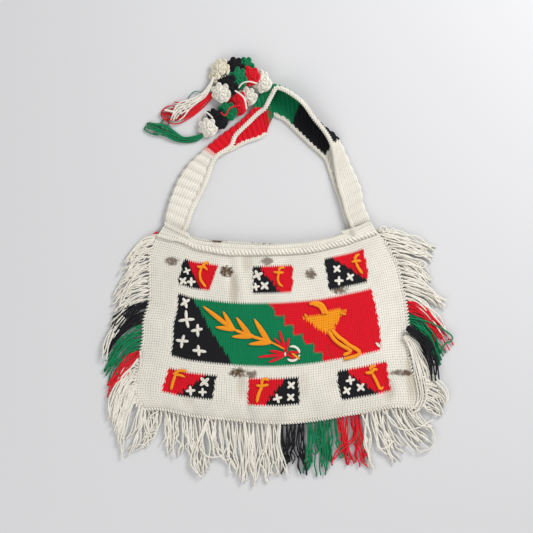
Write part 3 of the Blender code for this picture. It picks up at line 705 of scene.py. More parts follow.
def declare_cloth(middle, lift=None):
    area, width, length = flat_area(middle, lift)
    width, length = round(width + 0.001, 3), round(length + 0.001, 3)


class YarnWork:
    """Tubes of yarn of one colour gathered into one piece."""

    def __init__(self, sides=6):
        self.sides = sides
        self.points, self.faces, self.uvs = [], [], []
        self.count = 0

    def add(self, route, radius):
        """One yarn along a route; radius is one number or one for each point."""
        route = np.asarray(route, float)
        radii = np.broadcast_to(radius, (len(route),))
        tangents = unit(np.gradient(route, axis=0))
        normal = np.cross(tangents[0], (0.31, 0.17, 1.0))
        normals = np.empty_like(route)
        for i, tangent in enumerate(tangents):
            normal = normal - tangent * normal.dot(tangent)
            normal = normal / max(np.linalg.norm(normal), 1e-9)
            normals[i] = normal
        others = np.cross(tangents, normals)
        angles = 2 * math.pi * np.arange(self.sides) / self.sides
        rings = route[:, None, :] + radii[:, None, None] * (
            np.cos(angles)[None, :, None] * normals[:, None, :]
            + np.sin(angles)[None, :, None] * others[:, None, :]
        )
        self._add_skin(len(route), running_length(route) / (2 * float(np.mean(radii))))
        self.points.append(rings.reshape(-1, 3))
        self.count += len(route) * self.sides

    def _add_skin(self, count, along):
        """Faces and twist coordinates of a tube of count rings, with its two flat ends."""
        sides = self.sides
        i = np.repeat(np.arange(count - 1), sides)
        s = np.tile(np.arange(sides), count - 1)
        ahead = i + 1
        turn = (s + 1) % sides
        quads = np.stack([i * sides + s, i * sides + turn, ahead * sides + turn,
                          ahead * sides + s], axis=1) + self.count
        u0, u1, v0, v1 = s / sides, (s + 1) / sides, along[i], along[ahead]
        self.faces += quads.tolist()
        self.uvs.append(np.stack([u0, v0, u1, v0, u1, v1, u0, v1], axis=1).reshape(-1, 2))
        first = [self.count + side for side in range(sides)]
        self.faces += [first[::-1], [place + (count - 1) * sides for place in first]]
        self.uvs.append(np.tile((0.5, along[0]), (sides, 1)))
        self.uvs.append(np.tile((0.5, along[-1]), (sides, 1)))

    def piece(self, name, colour, replaced=()):
        """Makes the piece in one of the palette's colours."""
        return add_piece(
            name, np.concatenate(self.points), self.faces, [loose_finish(colour)],
            np.zeros(len(self.faces)), replaced, np.concatenate(self.uvs))


# ---------------------------------------------------------------------------------------------
# Finishes
# ---------------------------------------------------------------------------------------------


class Value:
    """A socket of a finish; sums and products of it add Math nodes."""

    def __init__(self, finish, socket):
        self.finish = finish
        self.socket = socket

    def _math(self, operation, first, second=0.0):
        node = self.finish.node("ShaderNodeMath", {"operation": operation}, {0: first, 1: second})
        return Value(self.finish, node.outputs[0])

    def __add__(self, other):
        return self._math("ADD", self, other)

    def __radd__(self, other):
        return self._math("ADD", other, self)

    def __sub__(self, other):
        return self._math("SUBTRACT", self, other)

    def __rsub__(self, other):
        return self._math("SUBTRACT", other, self)

    def __mul__(self, other):
        return self._math("MULTIPLY", self, other)

    def __rmul__(self, other):
        return self._math("MULTIPLY", other, self)

    def sine(self):
        return self._math("SINE", self)

    def largest(self, other):
        return self._math("MAXIMUM", self, other)

    def smallest(self, other):
        return self._math("MINIMUM", self, other)


class Finish:
    """A yarn's material being put together."""

    def __init__(self, name):
        self.material = bpy.data.materials.new(name)
        self.material.use_nodes = True
        self.tree = self.material.node_tree
        self.shader = self.tree.nodes["Principled BSDF"]

    def node(self, kind, settings=None, inputs=None):
        node = self.tree.nodes.new(kind)
        for key, value in (settings or {}).items():
            setattr(node, key, value)
        self.fill(node, inputs or {})
        return node

    def fill(self, node, inputs):
        for key, value in inputs.items():
            if isinstance(value, Value):
                self.tree.links.new(value.socket, node.inputs[key])
            else:
                node.inputs[key].default_value = value

    def value(self, node, output=0):
        return Value(self, node.outputs[output])

    def blend(self, factor, first, second):
        """Colour that goes from first to second."""
        node = self.node("ShaderNodeMix", {"data_type": "RGBA", "blend_type": "MIX"},
                         {0: factor, 6: first, 7: second})
        return self.value(node, 2)

    def noise(self, where, scale, detail=2.0, roughness=0.5):
        node = self.node("ShaderNodeTexNoise", {},
                         {"Vector": where, "Scale": scale, "Detail": detail,
                          "Roughness": roughness})
        return self.value(node, 0)

    def spot(self, place, middle, half_width, half_height, ragged):
        """1 in the middle of a soft oval on the cloth, 0 outside it."""
        x, y = place
        across = (x - middle[0] * MM) * (1 / (half_width * MM))
        up = (y - middle[1] * MM) * (1 / (half_height * MM))
        reach = across * across + up * up + ragged
        return (1.25 - reach).largest(0.0).smallest(1.0)


# Colours of the painted tan shade along the creases and of the brown smudges, which are stains.
PAINTED_CREASE_TAN = (0.36, 0.27, 0.17, 1.0)
SMUDGE = (0.10, 0.06, 0.034, 1.0)
# Painted shade in the gaps between stitches: how dark it is against the yarn, where it starts on a
# stitch's height, and how hard its edge is.
GAP_PAINTED_SHADE, GAP_LOFT, GAP_EDGE = 0.12, 0.46, 2.6


def shade(colour, factor):
    """The colour made darker or lighter."""
    return tuple(min(channel * factor, 1.0) for channel in colour[:3]) + (1.0,)


def largest_spot(finish, place, spots, ragged):
    """How strongly the strongest of a table of spots shows at a place."""
    total = None
    for x, y, half_width, half_height, strength in spots:
        spot = finish.spot(place, (x, y), half_width, half_height, ragged) * strength
        total = spot if total is None else total.largest(spot)
    return total


def stained_and_shaded_base(finish, where, base):
    """The yarn's colour under painted tan shade along the cloth's soft creases, and under its brown
    smudges, which are stains.
    """
    split = finish.node("ShaderNodeSeparateXYZ", {}, {0: where})
    place = (finish.value(split, 0), finish.value(split, 1))
    ragged = (finish.noise(where, 260.0, 3.0) - 0.5) * 3.2
    smudge = largest_spot(finish, place, SMUDGES, ragged)
    # Painted shade along the creases, in tan.
    painted_crease_shade = largest_spot(finish, place, PAINTED_CREASE_SHADES, 0.0)
    return finish.blend(smudge, finish.blend(painted_crease_shade, base, PAINTED_CREASE_TAN), SMUDGE)


def yarn_finish(name, colour, twisted, stained_and_shaded=False):
    """Soft matt yarn: uneven colour, fine fibre, and a ply twist where it is a loose strand; the
    cloth gets painted shade in the gaps between stitches, and the white cloth painted shade along
    its creases and its stains.
    """
    existing = bpy.data.materials.get(name)
    if existing:
        return existing
    finish = Finish(name)
    where = finish.value(finish.node("ShaderNodeTexCoord"), "Object")
    broad = finish.noise(where, 38.0)
    fine = finish.noise(where, 520.0, 3.0, 0.65)
    tone = (broad * 0.55 + fine * 0.75 - 0.15).largest(0.0).smallest(1.0)
    base = finish.blend(tone, shade(colour, 0.74), shade(colour, 1.14))
    if not twisted:
        # Painted shade in the gaps between the stitches, where the loft is low.
        loft = finish.value(finish.node("ShaderNodeAttribute", {"attribute_name": "loft"}), "Fac")
        painted_gap_shade = ((GAP_LOFT - loft) * GAP_EDGE).largest(0.0).smallest(1.0)
        base = finish.blend(painted_gap_shade, base, shade(colour, GAP_PAINTED_SHADE))
    # The white cloth gets painted shade along its creases, and its brown stains.
    if stained_and_shaded:
        base = stained_and_shaded_base(finish, where, base)
    shader = finish.shader
    shader.inputs["Roughness"].default_value = 0.92
    shader.inputs["Specular IOR Level"].default_value = 0.2
    shader.inputs["Sheen Weight"].default_value = 0.04 if max(colour[:3]) < 0.05 else 0.15
    shader.inputs["Sheen Roughness"].default_value = 0.5
    finish.tree.links.new(base.socket, shader.inputs["Base Color"])
    height = fine * 0.5
    if twisted:
        uv = finish.node("ShaderNodeUVMap", {"uv_map": "along_yarn"})
        parts = finish.node("ShaderNodeSeparateXYZ", {}, {0: finish.value(uv)})
        around, along = finish.value(parts, 0), finish.value(parts, 1)
        ply = ((around * 3.0 + along * 1.3) * (2 * math.pi)).sine()
        height = height + ply * 0.5
    bump = finish.node("ShaderNodeBump", {}, {"Strength": 0.55, "Distance": 0.0005,
                                              "Height": height})
    finish.tree.links.new(bump.outputs[0], shader.inputs["Normal"])
    return finish.material


# ---------------------------------------------------------------------------------------------
# The cloth of the bag
# ---------------------------------------------------------------------------------------------

LEFT_SIDE, RIGHT_SIDE = Edge(LEFT_EDGE[:-1]), Edge(RIGHT_EDGE[:-1])
FOOT, HEADING = Edge(BOTTOM_EDGE), Edge(BAND_LINE)
HEADING_SIZE = (96, 4)  # stitches and courses
FRONT_TEETH = 1.35  # how far the legs of a stitch rise over its middle, in courses
STRAP_OVERLAP = (1.6, 4.0)  # how far the heading rises at the strap, at its left and right foot


def back_height(across, _up):
    return np.full(np.shape(across), CLOTH / 2)


def band_height(across, up):
    ends = np.clip(np.maximum(0.115 - across, across - 0.885) / 0.03, 0, 1)
    rise = np.where(across < 0.5, STRAP_OVERLAP[0], STRAP_OVERLAP[1])
    over_strap = rise * ends * ends * (3 - 2 * ends) * np.clip(up * 2, 0, 1)
    return front_height(across, np.ones(np.shape(up))) + 1.5 * (BAND - CLOTH) + GAP + over_strap


def back_band_height(across, _up):
    return np.full(np.shape(across), BAND / 2)


FRONT = Patch(LEFT_SIDE, RIGHT_SIDE, FOOT, HEADING, front_height, (0, -GAP))
BACK = Patch(LEFT_SIDE, RIGHT_SIDE, FOOT, HEADING, back_height, (0, -GAP))
FRONT_BAND = Patch(
    Edge(LEFT_EDGE[-2:]), Edge(RIGHT_EDGE[-2:]), HEADING, Edge(FRONT_MOUTH), band_height,
    (-1.2, 0),
)
BACK_BAND = Patch(
    Edge(LEFT_EDGE[-2:]), Edge(RIGHT_EDGE[-2:]), HEADING, Edge(BACK_MOUTH), back_band_height,
    (GAP, 0),
)


def front_creases(across, up):
    """Soft hollows and ridges of the front."""
    lift = np.zeros(np.shape(across))
    for x, y, half_width, half_length, depth in CREASES:
        reach = ((across - x) / half_width) ** 2 + ((up - y) / half_length) ** 2
        lift = lift + depth * np.exp(-reach)
    return lift


def front_chart(across, up):
    """The yarn of each stitch of the front."""
    chart = np.full(across.shape, WHITE)
    courses = np.arange(len(up))
    half = across[0, 1] - across[0, 0]
    shifted = (courses % 2)[:, None]
    across = (np.floor((across / half + shifted) / 2) * 2 + 1 - shifted) * half
    for block in BLOCKS:
        rise = np.clip((up - block.low) / (block.high - block.low), 0, 1)
        left = block.left[0] + (block.left[1] - block.left[0]) * rise
        right = block.right[0] + (block.right[1] - block.right[0]) * rise
        share = (across - left) / (right - left)
        yarns = np.full(across.shape, block.yarns[0])
        for (foot, head, step), yarn in zip(block.diagonals, block.yarns[1:]):
            level = np.minimum(courses // step * step + step // 2, len(courses) - 1)
            yarns[share > foot + (head - foot) * rise[level]] = yarn
        worked = (up > block.low) & (up < block.high) & (share > 0) & (share < 1)
        chart[worked] = yarns[worked]
    for low, high, left, right in BIRD_BODY:
        chart[(up > low) & (up < high) & (across > left) & (across < right)] = GOLD
    return chart


def cloth_finishes():
    """The finishes of the looped cloth, in the order of its yarns."""
    return [
        yarn_finish("cloth_" + name, getattr(palette(), name), False, name == "white")
        for name in CLOTH_YARNS
    ]


# ---------------------------------------------------------------------------------------------
# The strap
# ---------------------------------------------------------------------------------------------

STRAP_LAST = len(STRAP) - 1
STRAP_FOOT = 0.22  # how far the strap runs on under the heading, in stations
STRAP_PLACES = np.linspace(-STRAP_FOOT, STRAP_LAST + STRAP_FOOT, 12 * STRAP_LAST + 1)
STRAP_LENGTHS = running_length(
    (smooth_rows(STRAP, STRAP_PLACES)[:, 0:2] + smooth_rows(STRAP, STRAP_PLACES)[:, 2:4]) / 2
)
# Colour runs along the strap, as places along its stations.
RED_START = 7.0
FLAP_GREEN = (10.7, 12.8)  # on the upper layer, at the fold and at its edge
INSIDE_GREEN = 13.2
INSIDE_BLACK = (16.8, 17.9)  # on the inside, at the inner edge and at the fold
INSIDE_WHITE = (20.6, 21.3)
FLAP_WHITE = (21.3, 20.9)
HIDDEN_BRAID = (12.0, 14.2)  # where the band turns over and its lower braid is underneath
RIB_DEPTH = 1.5
BRAID_HALF_WIDTH, BRAID_PITCH = 2.4, 3.5
WHITE_RIB, COLOUR_RIB = 12.5, 7.8
STRAP_MARGIN = EDGING_WIDTH - 2.0  # the cloth runs on a little under the braids


def strap_section(place):
    """The folded section at a place: outer fold, direction inwards, path and its lengths."""
    station = Station(*smooth_rows(STRAP, place))
    outer = np.array((station.outer_x, station.outer_y))
    inner = np.array((station.inner_x, station.inner_y))
    width = np.linalg.norm(inner - outer)
    radius, turn = station.fold_radius, math.radians(station.fold_turn)
    flap = (station.front_share * width - radius * (1 - math.sin(turn))) / -math.cos(turn)
    low = BAND / 2
    angles = turn * np.linspace(0, 1, 17)
    across = np.concatenate([[width], radius * (1 - np.sin(angles))])
    height = np.concatenate([[low], low + radius * (1 - np.cos(angles))])
    across = np.append(across, across[-1] - flap * math.cos(turn))
    height = np.append(height, height[-1] + flap * math.sin(turn))
    path = np.stack([across, height], axis=1)
    return outer, (inner - outer) / width, path, running_length(path)


def on_section(section, distances):
    outer, inward, path, lengths = section
    across = np.interp(distances, lengths, path[:, 0])
    height = np.interp(distances, lengths, path[:, 1])
    flat = outer + inward * np.asarray(across)[..., None]
    return np.concatenate([flat, np.asarray(height)[..., None]], axis=-1)


def strap_place(share):
    return np.interp(np.asarray(share) * STRAP_LENGTHS[-1], STRAP_LENGTHS, STRAP_PLACES)


def strap_middle(across, up):
    """Middle of the strap's cloth, from the lower braid (0) round the fold to the upper (1)."""
    shape = np.broadcast(across, up).shape
    across, up = np.broadcast_to(across, shape), np.broadcast_to(up, shape)
    points = np.empty(shape + (3,))
    for row in range(shape[0]):
        places = strap_place(up[row])
        whole = strap_section(float(np.mean(places)))
        if np.ptp(places) < 0.002:
            points[row] = on_section(whole, strap_distance(whole, places[0], across[row]))
            continue
        low, high = float(places.min()), float(places.max())
        ends = [strap_section(low), strap_section(high)]
        near = on_section(ends[0], strap_distance(ends[0], low, across[row]))
        far = on_section(ends[1], strap_distance(ends[1], high, across[row]))
        share = ((places - low) / (high - low))[:, None]
        points[row] = near * (1 - share) + far * share
    return points


def strap_distance(section, place, across):
    """Distance along the section for a share across the cloth between the two braids."""
    hidden = np.clip(min(place - HIDDEN_BRAID[0], HIDDEN_BRAID[1] - place) * 2.5, 0, 1)
    start = STRAP_MARGIN * (1 - hidden) + 1.2 * hidden
    end = section[3][-1] - STRAP_MARGIN
    return start + (end - start) * across


def fold_share(places):
    """Share across the strap's cloth at which the fold lies."""
    shares = []
    for place in np.linspace(0, STRAP_LAST, 4 * STRAP_LAST + 1):
        lengths = strap_section(place)[3]
        start = STRAP_MARGIN
        shares.append(((lengths[1] + lengths[-2]) / 2 - start) / (lengths[-1] - 2 * start))
    return np.interp(places, np.linspace(0, STRAP_LAST, len(shares)), shares)


def strap_chart(across, up):
    """The yarn of each stitch of the strap."""
    places = strap_place(up)
    fold = fold_share(places)
    flap = across > fold
    out = np.clip(across / np.maximum(fold, 0.05), 0, 1)
    over = np.clip((across - fold) / np.maximum(1 - fold, 0.05), 0, 1)
    to_green = np.where(flap, FLAP_GREEN[0] + (FLAP_GREEN[1] - FLAP_GREEN[0]) * over, INSIDE_GREEN)
    to_black = INSIDE_BLACK[0] + (INSIDE_BLACK[1] - INSIDE_BLACK[0]) * out
    to_white = np.where(
        flap, FLAP_WHITE[0] + (FLAP_WHITE[1] - FLAP_WHITE[0]) * over,
        INSIDE_WHITE[0] + (INSIDE_WHITE[1] - INSIDE_WHITE[0]) * out,
    )
    chart = np.full(places.shape, WHITE)
    chart[places > RED_START] = RED
    chart[places > to_green] = GREEN
    chart[places > to_black] = BLACK
    chart[places > to_white] = WHITE
    course, stitch = np.indices(places.shape)
    start = (np.abs(places - RED_START) < 0.22) & ((course + stitch) % 2 == 0)
    chart[start] = RED
    speckle = (np.abs(places - to_green) < 0.45) & ((course * 3 + stitch) % 4 == 0)
    chart[speckle & (places > to_green)] = RED
    return chart


def strap_ribs(_across, up):
    """The strap's ribs, which run across it: a height that only goes inwards."""
    places = strap_place(up)
    length = np.asarray(up) * STRAP_LENGTHS[-1]
    stops = np.linspace(0, 1, 400)
    stop_places = strap_place(stops)
    coloured = (stop_places > RED_START) & (stop_places < INSIDE_WHITE[1])
    rates = np.where(coloured, 1 / COLOUR_RIB, 1 / WHITE_RIB)
    phases = np.cumsum(rates) * STRAP_LENGTHS[-1] / len(stops)
    phase = np.interp(length / STRAP_LENGTHS[-1], stops, phases)
    soft = np.interp(places, (0, 2, 4, 22, STRAP_LAST), (0.45, 0.75, 1, 1, 0.8))
    return -RIB_DEPTH * soft * (0.5 - 0.5 * np.cos(2 * math.pi * phase)) ** 2


def braid(work, line, height, radius):
    """A plump herringbone edging: a core yarn under pairs of slanted stitches."""
    work.add(line, BRAID_HALF_WIDTH * 0.62)
    stitches = spaced_line(line, BRAID_PITCH)
    ahead = unit(np.gradient(stitches, axis=0))
    sideways = unit(np.cross(ahead, (0, 0, 1.0)))
    upwards = np.cross(sideways, ahead)
    share = np.linspace(0, 1, 6)[:, None]
    for middle, way, aside, above in zip(stitches, ahead, sideways, upwards):
        for side in (-1, 1):
            route = middle + (1.15 * share - 0.1) * side * BRAID_HALF_WIDTH * aside
            route = route + (share - 0.5) * BRAID_PITCH * 1.1 * way
            route = route + height * (1.1 - 1.3 * share**2) * above
            work.add(route, radius)


def braid_line(places, from_start):
    points = []
    for place in places:
        section = strap_section(place)
        distance = EDGING_WIDTH / 2 if from_start else section[3][-1] - EDGING_WIDTH / 2
        points.append(on_section(section, distance))
    return spaced_line(np.array(points), 1.3)


# ---------------------------------------------------------------------------------------------
# Needlework on the front
# ---------------------------------------------------------------------------------------------


STEP_ACROSS, STEP_UP = 360.0, 225.0  # about the size of the front, for the search below


def on_front(points, above):
    """Points x, y laid on the front cloth, with their middle above its face."""
    points = np.asarray(points, float)
    across = np.clip((points[:, 0] + 180) / 360, 0, 1)
    up = np.clip((points[:, 1] + 190) / 220, 0, 1)
    for _ in range(12):
        here = FRONT.at(across, up)
        across = np.clip(across + (points[:, 0] - here[:, 0]) / STEP_ACROSS, 0, 1)
        up = np.clip(up + (points[:, 1] - here[:, 1]) / STEP_UP, 0, 1)
    height = front_height(across, up) + front_creases(across, up) + CLOTH / 2 + above
    return np.stack([points[:, 0], points[:, 1], height], axis=1)


def petal(work, root, tip, width, strands=3, radius=1.05, rise=0.9, pointed=False):
    """Side-by-side yarns that swell from the root and meet again at the tip."""
    root, tip = np.array(root, float), np.array(tip, float)
    heading = (tip - root) / np.linalg.norm(tip - root)
    aside = np.array((-heading[1], heading[0]))
    share = np.linspace(0, 1, 11)
    swell = np.sin(math.pi * (0.06 + 0.9 * share)) ** 0.8
    if pointed:
        swell = 1.75 * np.clip(share + 0.05, 0, 1) ** 0.45 * (1.02 - share) ** 0.85
    for k in range(strands):
        offset = 2 * k / (strands - 1) - 1 if strands > 1 else 0.0
        flat = root + (tip - root) * share[:, None]
        flat = flat + aside * (offset * (width / 2 - radius) * swell)[:, None]
        lift = radius * 0.6 + rise * (1 - offset**2) * swell
        thick = radius * (0.62 + 0.38 * swell)
        work.add(on_front(flat, lift), thick)


CHAIN_LINK = 6.0  # length of a link of chain stitch


def chain(work, points, width):
    """A line of chain stitch: two yarns that cross at every link."""
    line = spaced_line(np.asarray(points, float), 0.9)
    lengths = running_length(line)
    tangents = unit(np.gradient(line, axis=0))
    aside = np.stack([-tangents[:, 1], tangents[:, 0]], axis=1)
    ends = np.clip(np.minimum(lengths, lengths[-1] - lengths) / 2.5, 0.25, 1)
    for side in (0, 1):
        angle = 2 * math.pi * (lengths / CHAIN_LINK + side / 2)
        route = line + aside * (width * 0.26 * np.sin(angle) * ends)[:, None]
        lift = 0.9 + 0.45 * np.cos(angle)
        work.add(on_front(route, lift), width * 0.3 * (0.55 + 0.45 * ends))


def stars_work():
    work = YarnWork()
    for middle, tips in BIG_STARS:
        for dx, dy in tips:
            petal(work, middle, (middle[0] + dx, middle[1] + dy), 4.3)
    for x, y, reach, turn in SMALL_STARS:
        for quarter in range(4):
            angle = math.radians(turn + 90 * quarter)
            tip = (x + reach * math.cos(angle), y + reach * math.sin(angle))
            petal(work, (x, y), tip, 0.6 * reach, strands=2)
    for start, end in END_LOOPS:
        petal(work, start, end, 3.2, strands=2, radius=0.8)
    middle_x, middle_y, radius = FLOWER_RING
    for start, end in RING_ARCS:
        angles = np.radians(np.linspace(start, end, max(4, int((end - start) / 12) + 2)))
        ring = np.stack([middle_x + radius * np.cos(angles), middle_y + radius * np.sin(angles)], 1)
        chain(work, ring, 3.6)
    return work


def gold_work():
    work = YarnWork()
    for root, tip, width in LEAVES:
        petal(work, root, tip, width, strands=4, radius=1.15, rise=0.7, pointed=True)
    for root, tip, width in STEMS:
        chain(work, (root, ((root[0] + tip[0]) / 2, (root[1] + tip[1]) / 2), tip), width)
    petal(work, *FLOWER_CORE, strands=2, radius=1.1, rise=2.2)
    for width, route in BIG_BIRD:
        chain(work, route, width)
    for width, route in SMALL_BIRDS:
        chain(work, route, 1.25 * width)
    return work


def flower_work():
    work = YarnWork()
    for root, tip, width in PETALS:
        petal(work, root, tip, width, strands=2, radius=1.1, rise=1.0)
    return work


# ---------------------------------------------------------------------------------------------
# Fringes
# ---------------------------------------------------------------------------------------------

YARN_RADIUS = 1.1
KNOT_PITCH = 5.6
KNOT_HEIGHT = 2.9
CLUMP_PITCH, CLUMP_SWAY = 25.0, 7.0  # yarns lean together in clumps: their distance, their lean
# A loose yarn: how far it strays along the edge from its clump, its length against its lock's,
# the scatter of its tip, and how far out it bends over, as a share of its reach outwards.
YARN_WANDER, YARN_REACH, TIP_SCATTER, YARN_BEND = 3.5, (0.72, 1.02), 1.6, (0.3, 0.62)
# Each side: its edge, the axis its roots are given on, the way out, its span and its locks.
Side = namedtuple("Side", "edge axis out span locks yarns_per_knot curl")
SIDES = (
    Side(Edge(LEFT_EDGE), 1, (-1.0, 0.0), (-176, 52), LEFT_FRINGE, 5, 1.2),
    Side(Edge(BOTTOM_EDGE), 0, (0.0, -1.0), (-181, 190), BOTTOM_FRINGE, 3, 1.5),
    Side(Edge(RIGHT_EDGE), 1, (1.0, 0.0), (-181, 60), RIGHT_FRINGE, 5, 1.3),
)


def comb_spans(side):
    """Root span of each comb of a side, in the order of its locks."""
    roots = [lock[1] for lock in side.locks]
    first, last = (side.span if roots[0] < roots[-1] else side.span[::-1])
    limits = [first] + [(a + b) / 2 for a, b in zip(roots, roots[1:])] + [last]
    spans = {}
    for i, (comb, *_rest) in enumerate(side.locks):
        start, _ = spans.get(comb, (limits[i], None))
        spans[comb] = (start, limits[i + 1])
    return spans


def lock_tip(side, root):
    """Where a yarn that leaves the edge at root ends, between the tips of its locks."""
    locks = sorted(side.locks, key=lambda lock: lock[1])
    keys = [lock[1] for lock in locks]
    return np.array([np.interp(root, keys, [lock[k] for lock in locks]) for k in (2, 3)])


def knot(work, place, out):
    """A hitch round the edge: one and a half turns of yarn."""
    turns = np.linspace(0, 1, 11)
    angle = 3 * math.pi * turns
    aside = np.array((-out[1], out[0], 0.0))
    ahead = np.array((out[0], out[1], 0.0))
    route = np.array(place) + np.outer(turns * 3.2 - 1.6, ahead)
    route = route + np.outer(1.5 * np.cos(angle), aside)
    route = route + np.outer(1.5 * np.sin(angle), (0, 0, 1.0))
    work.add(route, 1.05)


def strand_route(rng, start, knee, tip, low, high, wave, points=17):
    """One hanging yarn from its knot over a bend to its tip, gently crimped."""
    share = np.linspace(0, 1, points)
    s = share[:, None]
    flat = start * (1 - s) ** 2 + knee * 2 * s * (1 - s) + tip * s**2
    heading = unit(np.gradient(flat, axis=0))
    aside = np.stack([-heading[:, 1], heading[:, 0]], axis=1)
    loose = np.sin(math.pi * np.minimum(share * 1.35, 1.0) / 2)
    turns = rng.uniform(0.8, 2.6)
    wave = wave * rng.uniform(0.25, 1.7)
    crimp = wave * np.sin(2 * math.pi * (turns * share**1.3 + rng.random())) * loose
    bow = rng.normal(0, 2.2) * np.sin(math.pi * share)
    flat = flat + aside * (crimp + bow)[:, None]
    height = low + (high - low) * np.sin(math.pi * share**0.8) * rng.uniform(0.5, 1.0)
    height = height + 0.5 * np.sin(2 * math.pi * (2 * share + rng.random())) * loose
    return np.column_stack([flat, np.maximum(height, YARN_RADIUS + 0.1)])


def loose_yarn(work, points, height, spread, copies):
    """A yarn laid along a given route, or a few side by side, that sinks a little from its height.
    """
    line = spaced_line(np.asarray(points, float), 2.6)
    heading = unit(np.gradient(line, axis=0))
    aside = np.stack([-heading[:, 1], heading[:, 0]], axis=1)
    share = np.linspace(0, 1, len(line))
    for k in range(copies):
        kept = len(line) - 3 * (k % 3)
        offset = spread * (k - (copies - 1) / 2) * (0.4 + 0.6 * np.sin(math.pi * share * 0.8))
        if copies > 1:
            offset = offset + 1.5 * np.sin(2 * math.pi * (1.3 * share + 0.31 * k)) * share
        flat = line[:kept] + aside[:kept] * offset[:kept, None]
        lift = height + 0.7 * np.sin(2 * math.pi * (1.5 * share + 0.37 * k)) + 0.9 * (k % 2)
        lift = (lift * (1 - 0.35 * share))[:kept]
        work.add(np.column_stack([flat, np.maximum(lift, YARN_RADIUS + 0.1)]), YARN_RADIUS)


def comb_yarns(side, comb, span, rng):
    """The yarns of one comb: its listed strays, then those knotted on one after another."""
    work = YarnWork(sides=5)
    for name, height, copies, spread, points in STRAYS:
        if name == comb:
            loose_yarn(work, points, height, spread, copies)
    out = np.array(side.out)
    count = max(2, int(round(abs(span[1] - span[0]) / KNOT_PITCH)))
    for k in range(count):
        root = span[0] + (span[1] - span[0]) * (k + 0.5) / count
        place = side.edge.at_coordinate(side.axis, root) + out * (FRINGE_GAP + 1.2)
        if side.axis == 0:
            knot(work, np.append(place, KNOT_HEIGHT), side.out)
        else:
            place = place - out * (FRINGE_GAP + 2.4)
        clump = CLUMP_SWAY * math.sin(2 * math.pi * root / CLUMP_PITCH + rng.normal(0, 0.5))
        for yarn in range(side.yarns_per_knot):
            wander = clump + rng.normal(0, YARN_WANDER)
            tip = lock_tip(side, root + wander)
            reach = rng.uniform(*YARN_REACH)
            tip = place + (tip - place) * reach + rng.normal(0, TIP_SCATTER, 2)
            knee = place + out * float((tip - place) @ out) * rng.uniform(*YARN_BEND)
            knee = knee + (tip - place) * rng.uniform(0.0, 0.14)
            knee = knee + rng.normal(0, 2.0, 2)
            low = YARN_RADIUS + 0.15 + (yarn % 2) * 1.6 + rng.random() * 1.2
            route = strand_route(rng, place, knee, tip, low, low + 3.5, side.curl)
            route[0, 2] = KNOT_HEIGHT
            work.add(route, YARN_RADIUS * rng.uniform(0.85, 1.05))
    return work


# ---------------------------------------------------------------------------------------------
# Yarn flowers and tassels
# ---------------------------------------------------------------------------------------------

PUFF_PETALS = 7
PUFF_REACH = 15.0  # the loops reach a little further than the flower's core
PUFF_SETTLE = 3.5  # how far the loops settle towards the bag
# Flowers pulled out of round: the heading of the pull in degrees, and how much longer they get.
PUFF_PULLS = {
    "puff_a3_white": (54, 1.3), "puff_b1_white": (-60, 1.2), "puff_c2_red": (80, 1.3),
    "puff_a2_black": (20, 1.2), "puff_c4_black": (-40, 1.25), "puff_b4_black": (-60, 1.25),
    "puff_b3_green": (70, 1.2), "puff_b5_white": (-45, 1.1),
}


def flower_points(rng):
    """Routes of a crocheted flower that lies flat: two rounds of looped petals and a middle."""
    routes = []
    share = np.linspace(0, 1, 13)
    rise = np.sin(math.pi * share)
    for ring, (reach, height) in enumerate(((1.0, 0.0), (0.7, 2.2))):
        for k in range(PUFF_PETALS):
            middle = 2 * math.pi * (k + 0.5 * ring) / PUFF_PETALS + rng.normal(0, 0.1)
            length = PUFF_REACH * reach * rng.uniform(0.92, 1.05)
            for nested, width in ((1.0, 0.46), (0.82, 0.24)):
                spread = width * rise**0.5 * np.cos(math.pi * share)
                out = length * nested * (0.12 + 0.76 * rise**0.75)
                lift = height + 1.5 * rise * (1 - 0.4 * ring) + 0.7 * (1 - nested)
                routes.append((np.column_stack([
                    out * np.cos(middle + spread), out * np.sin(middle + spread), lift]), 1.45))
            tongue = length * (0.1 + 0.6 * share[::2])
            routes.append((np.column_stack([
                tongue * np.cos(middle), tongue * np.sin(middle),
                height + 0.6 + 1.6 * rise[::2]]), 1.5))
    turns = np.linspace(0, 2.2 * math.pi, 14)
    routes.append((np.column_stack([2 * np.cos(turns), 2 * np.sin(turns), 3.8 + 0.1 * turns]), 1.4))
    coil = np.linspace(0, 1, 56)
    angle = 6 * math.pi * coil
    reach = 1 + (PUFF_REACH - 4.0) * coil
    routes.append((np.column_stack([reach * np.cos(angle), reach * np.sin(angle), -0.6 + 0 * coil]),
                   2.1))
    return routes


def puff_work(strand, puff, rng):
    """One flower, leaned against the next in its strand."""
    name, _, x, y, lift = puff
    start, end = np.array(strand[0][2:4]), np.array(strand[-1][2:4])
    heading = unit(end - start)
    hinge = np.array((-heading[1], heading[0], 0.0))
    angle = math.radians(PUFF_TILT)
    work = YarnWork()
    routes = []
    pull_heading, pull = PUFF_PULLS.get(name, (0, 1.0))
    pull_way = np.array((math.cos(math.radians(pull_heading)),
                         math.sin(math.radians(pull_heading)), 0.0))
    for route, thick in flower_points(rng):
        route = route + np.outer(route @ pull_way, pull_way) * (pull - 1)
        leaned = (
            route * math.cos(angle) + np.cross(hinge, route) * math.sin(angle)
            + np.outer(route @ hinge, hinge) * (1 - math.cos(angle))
        )
        routes.append((leaned, thick))
    lowest = min(float(route[:, 2].min()) - thick for route, thick in routes)
    for route, thick in routes:
        work.add(route + (x - 1.5, y - PUFF_SETTLE, lift - lowest), thick)
    return work


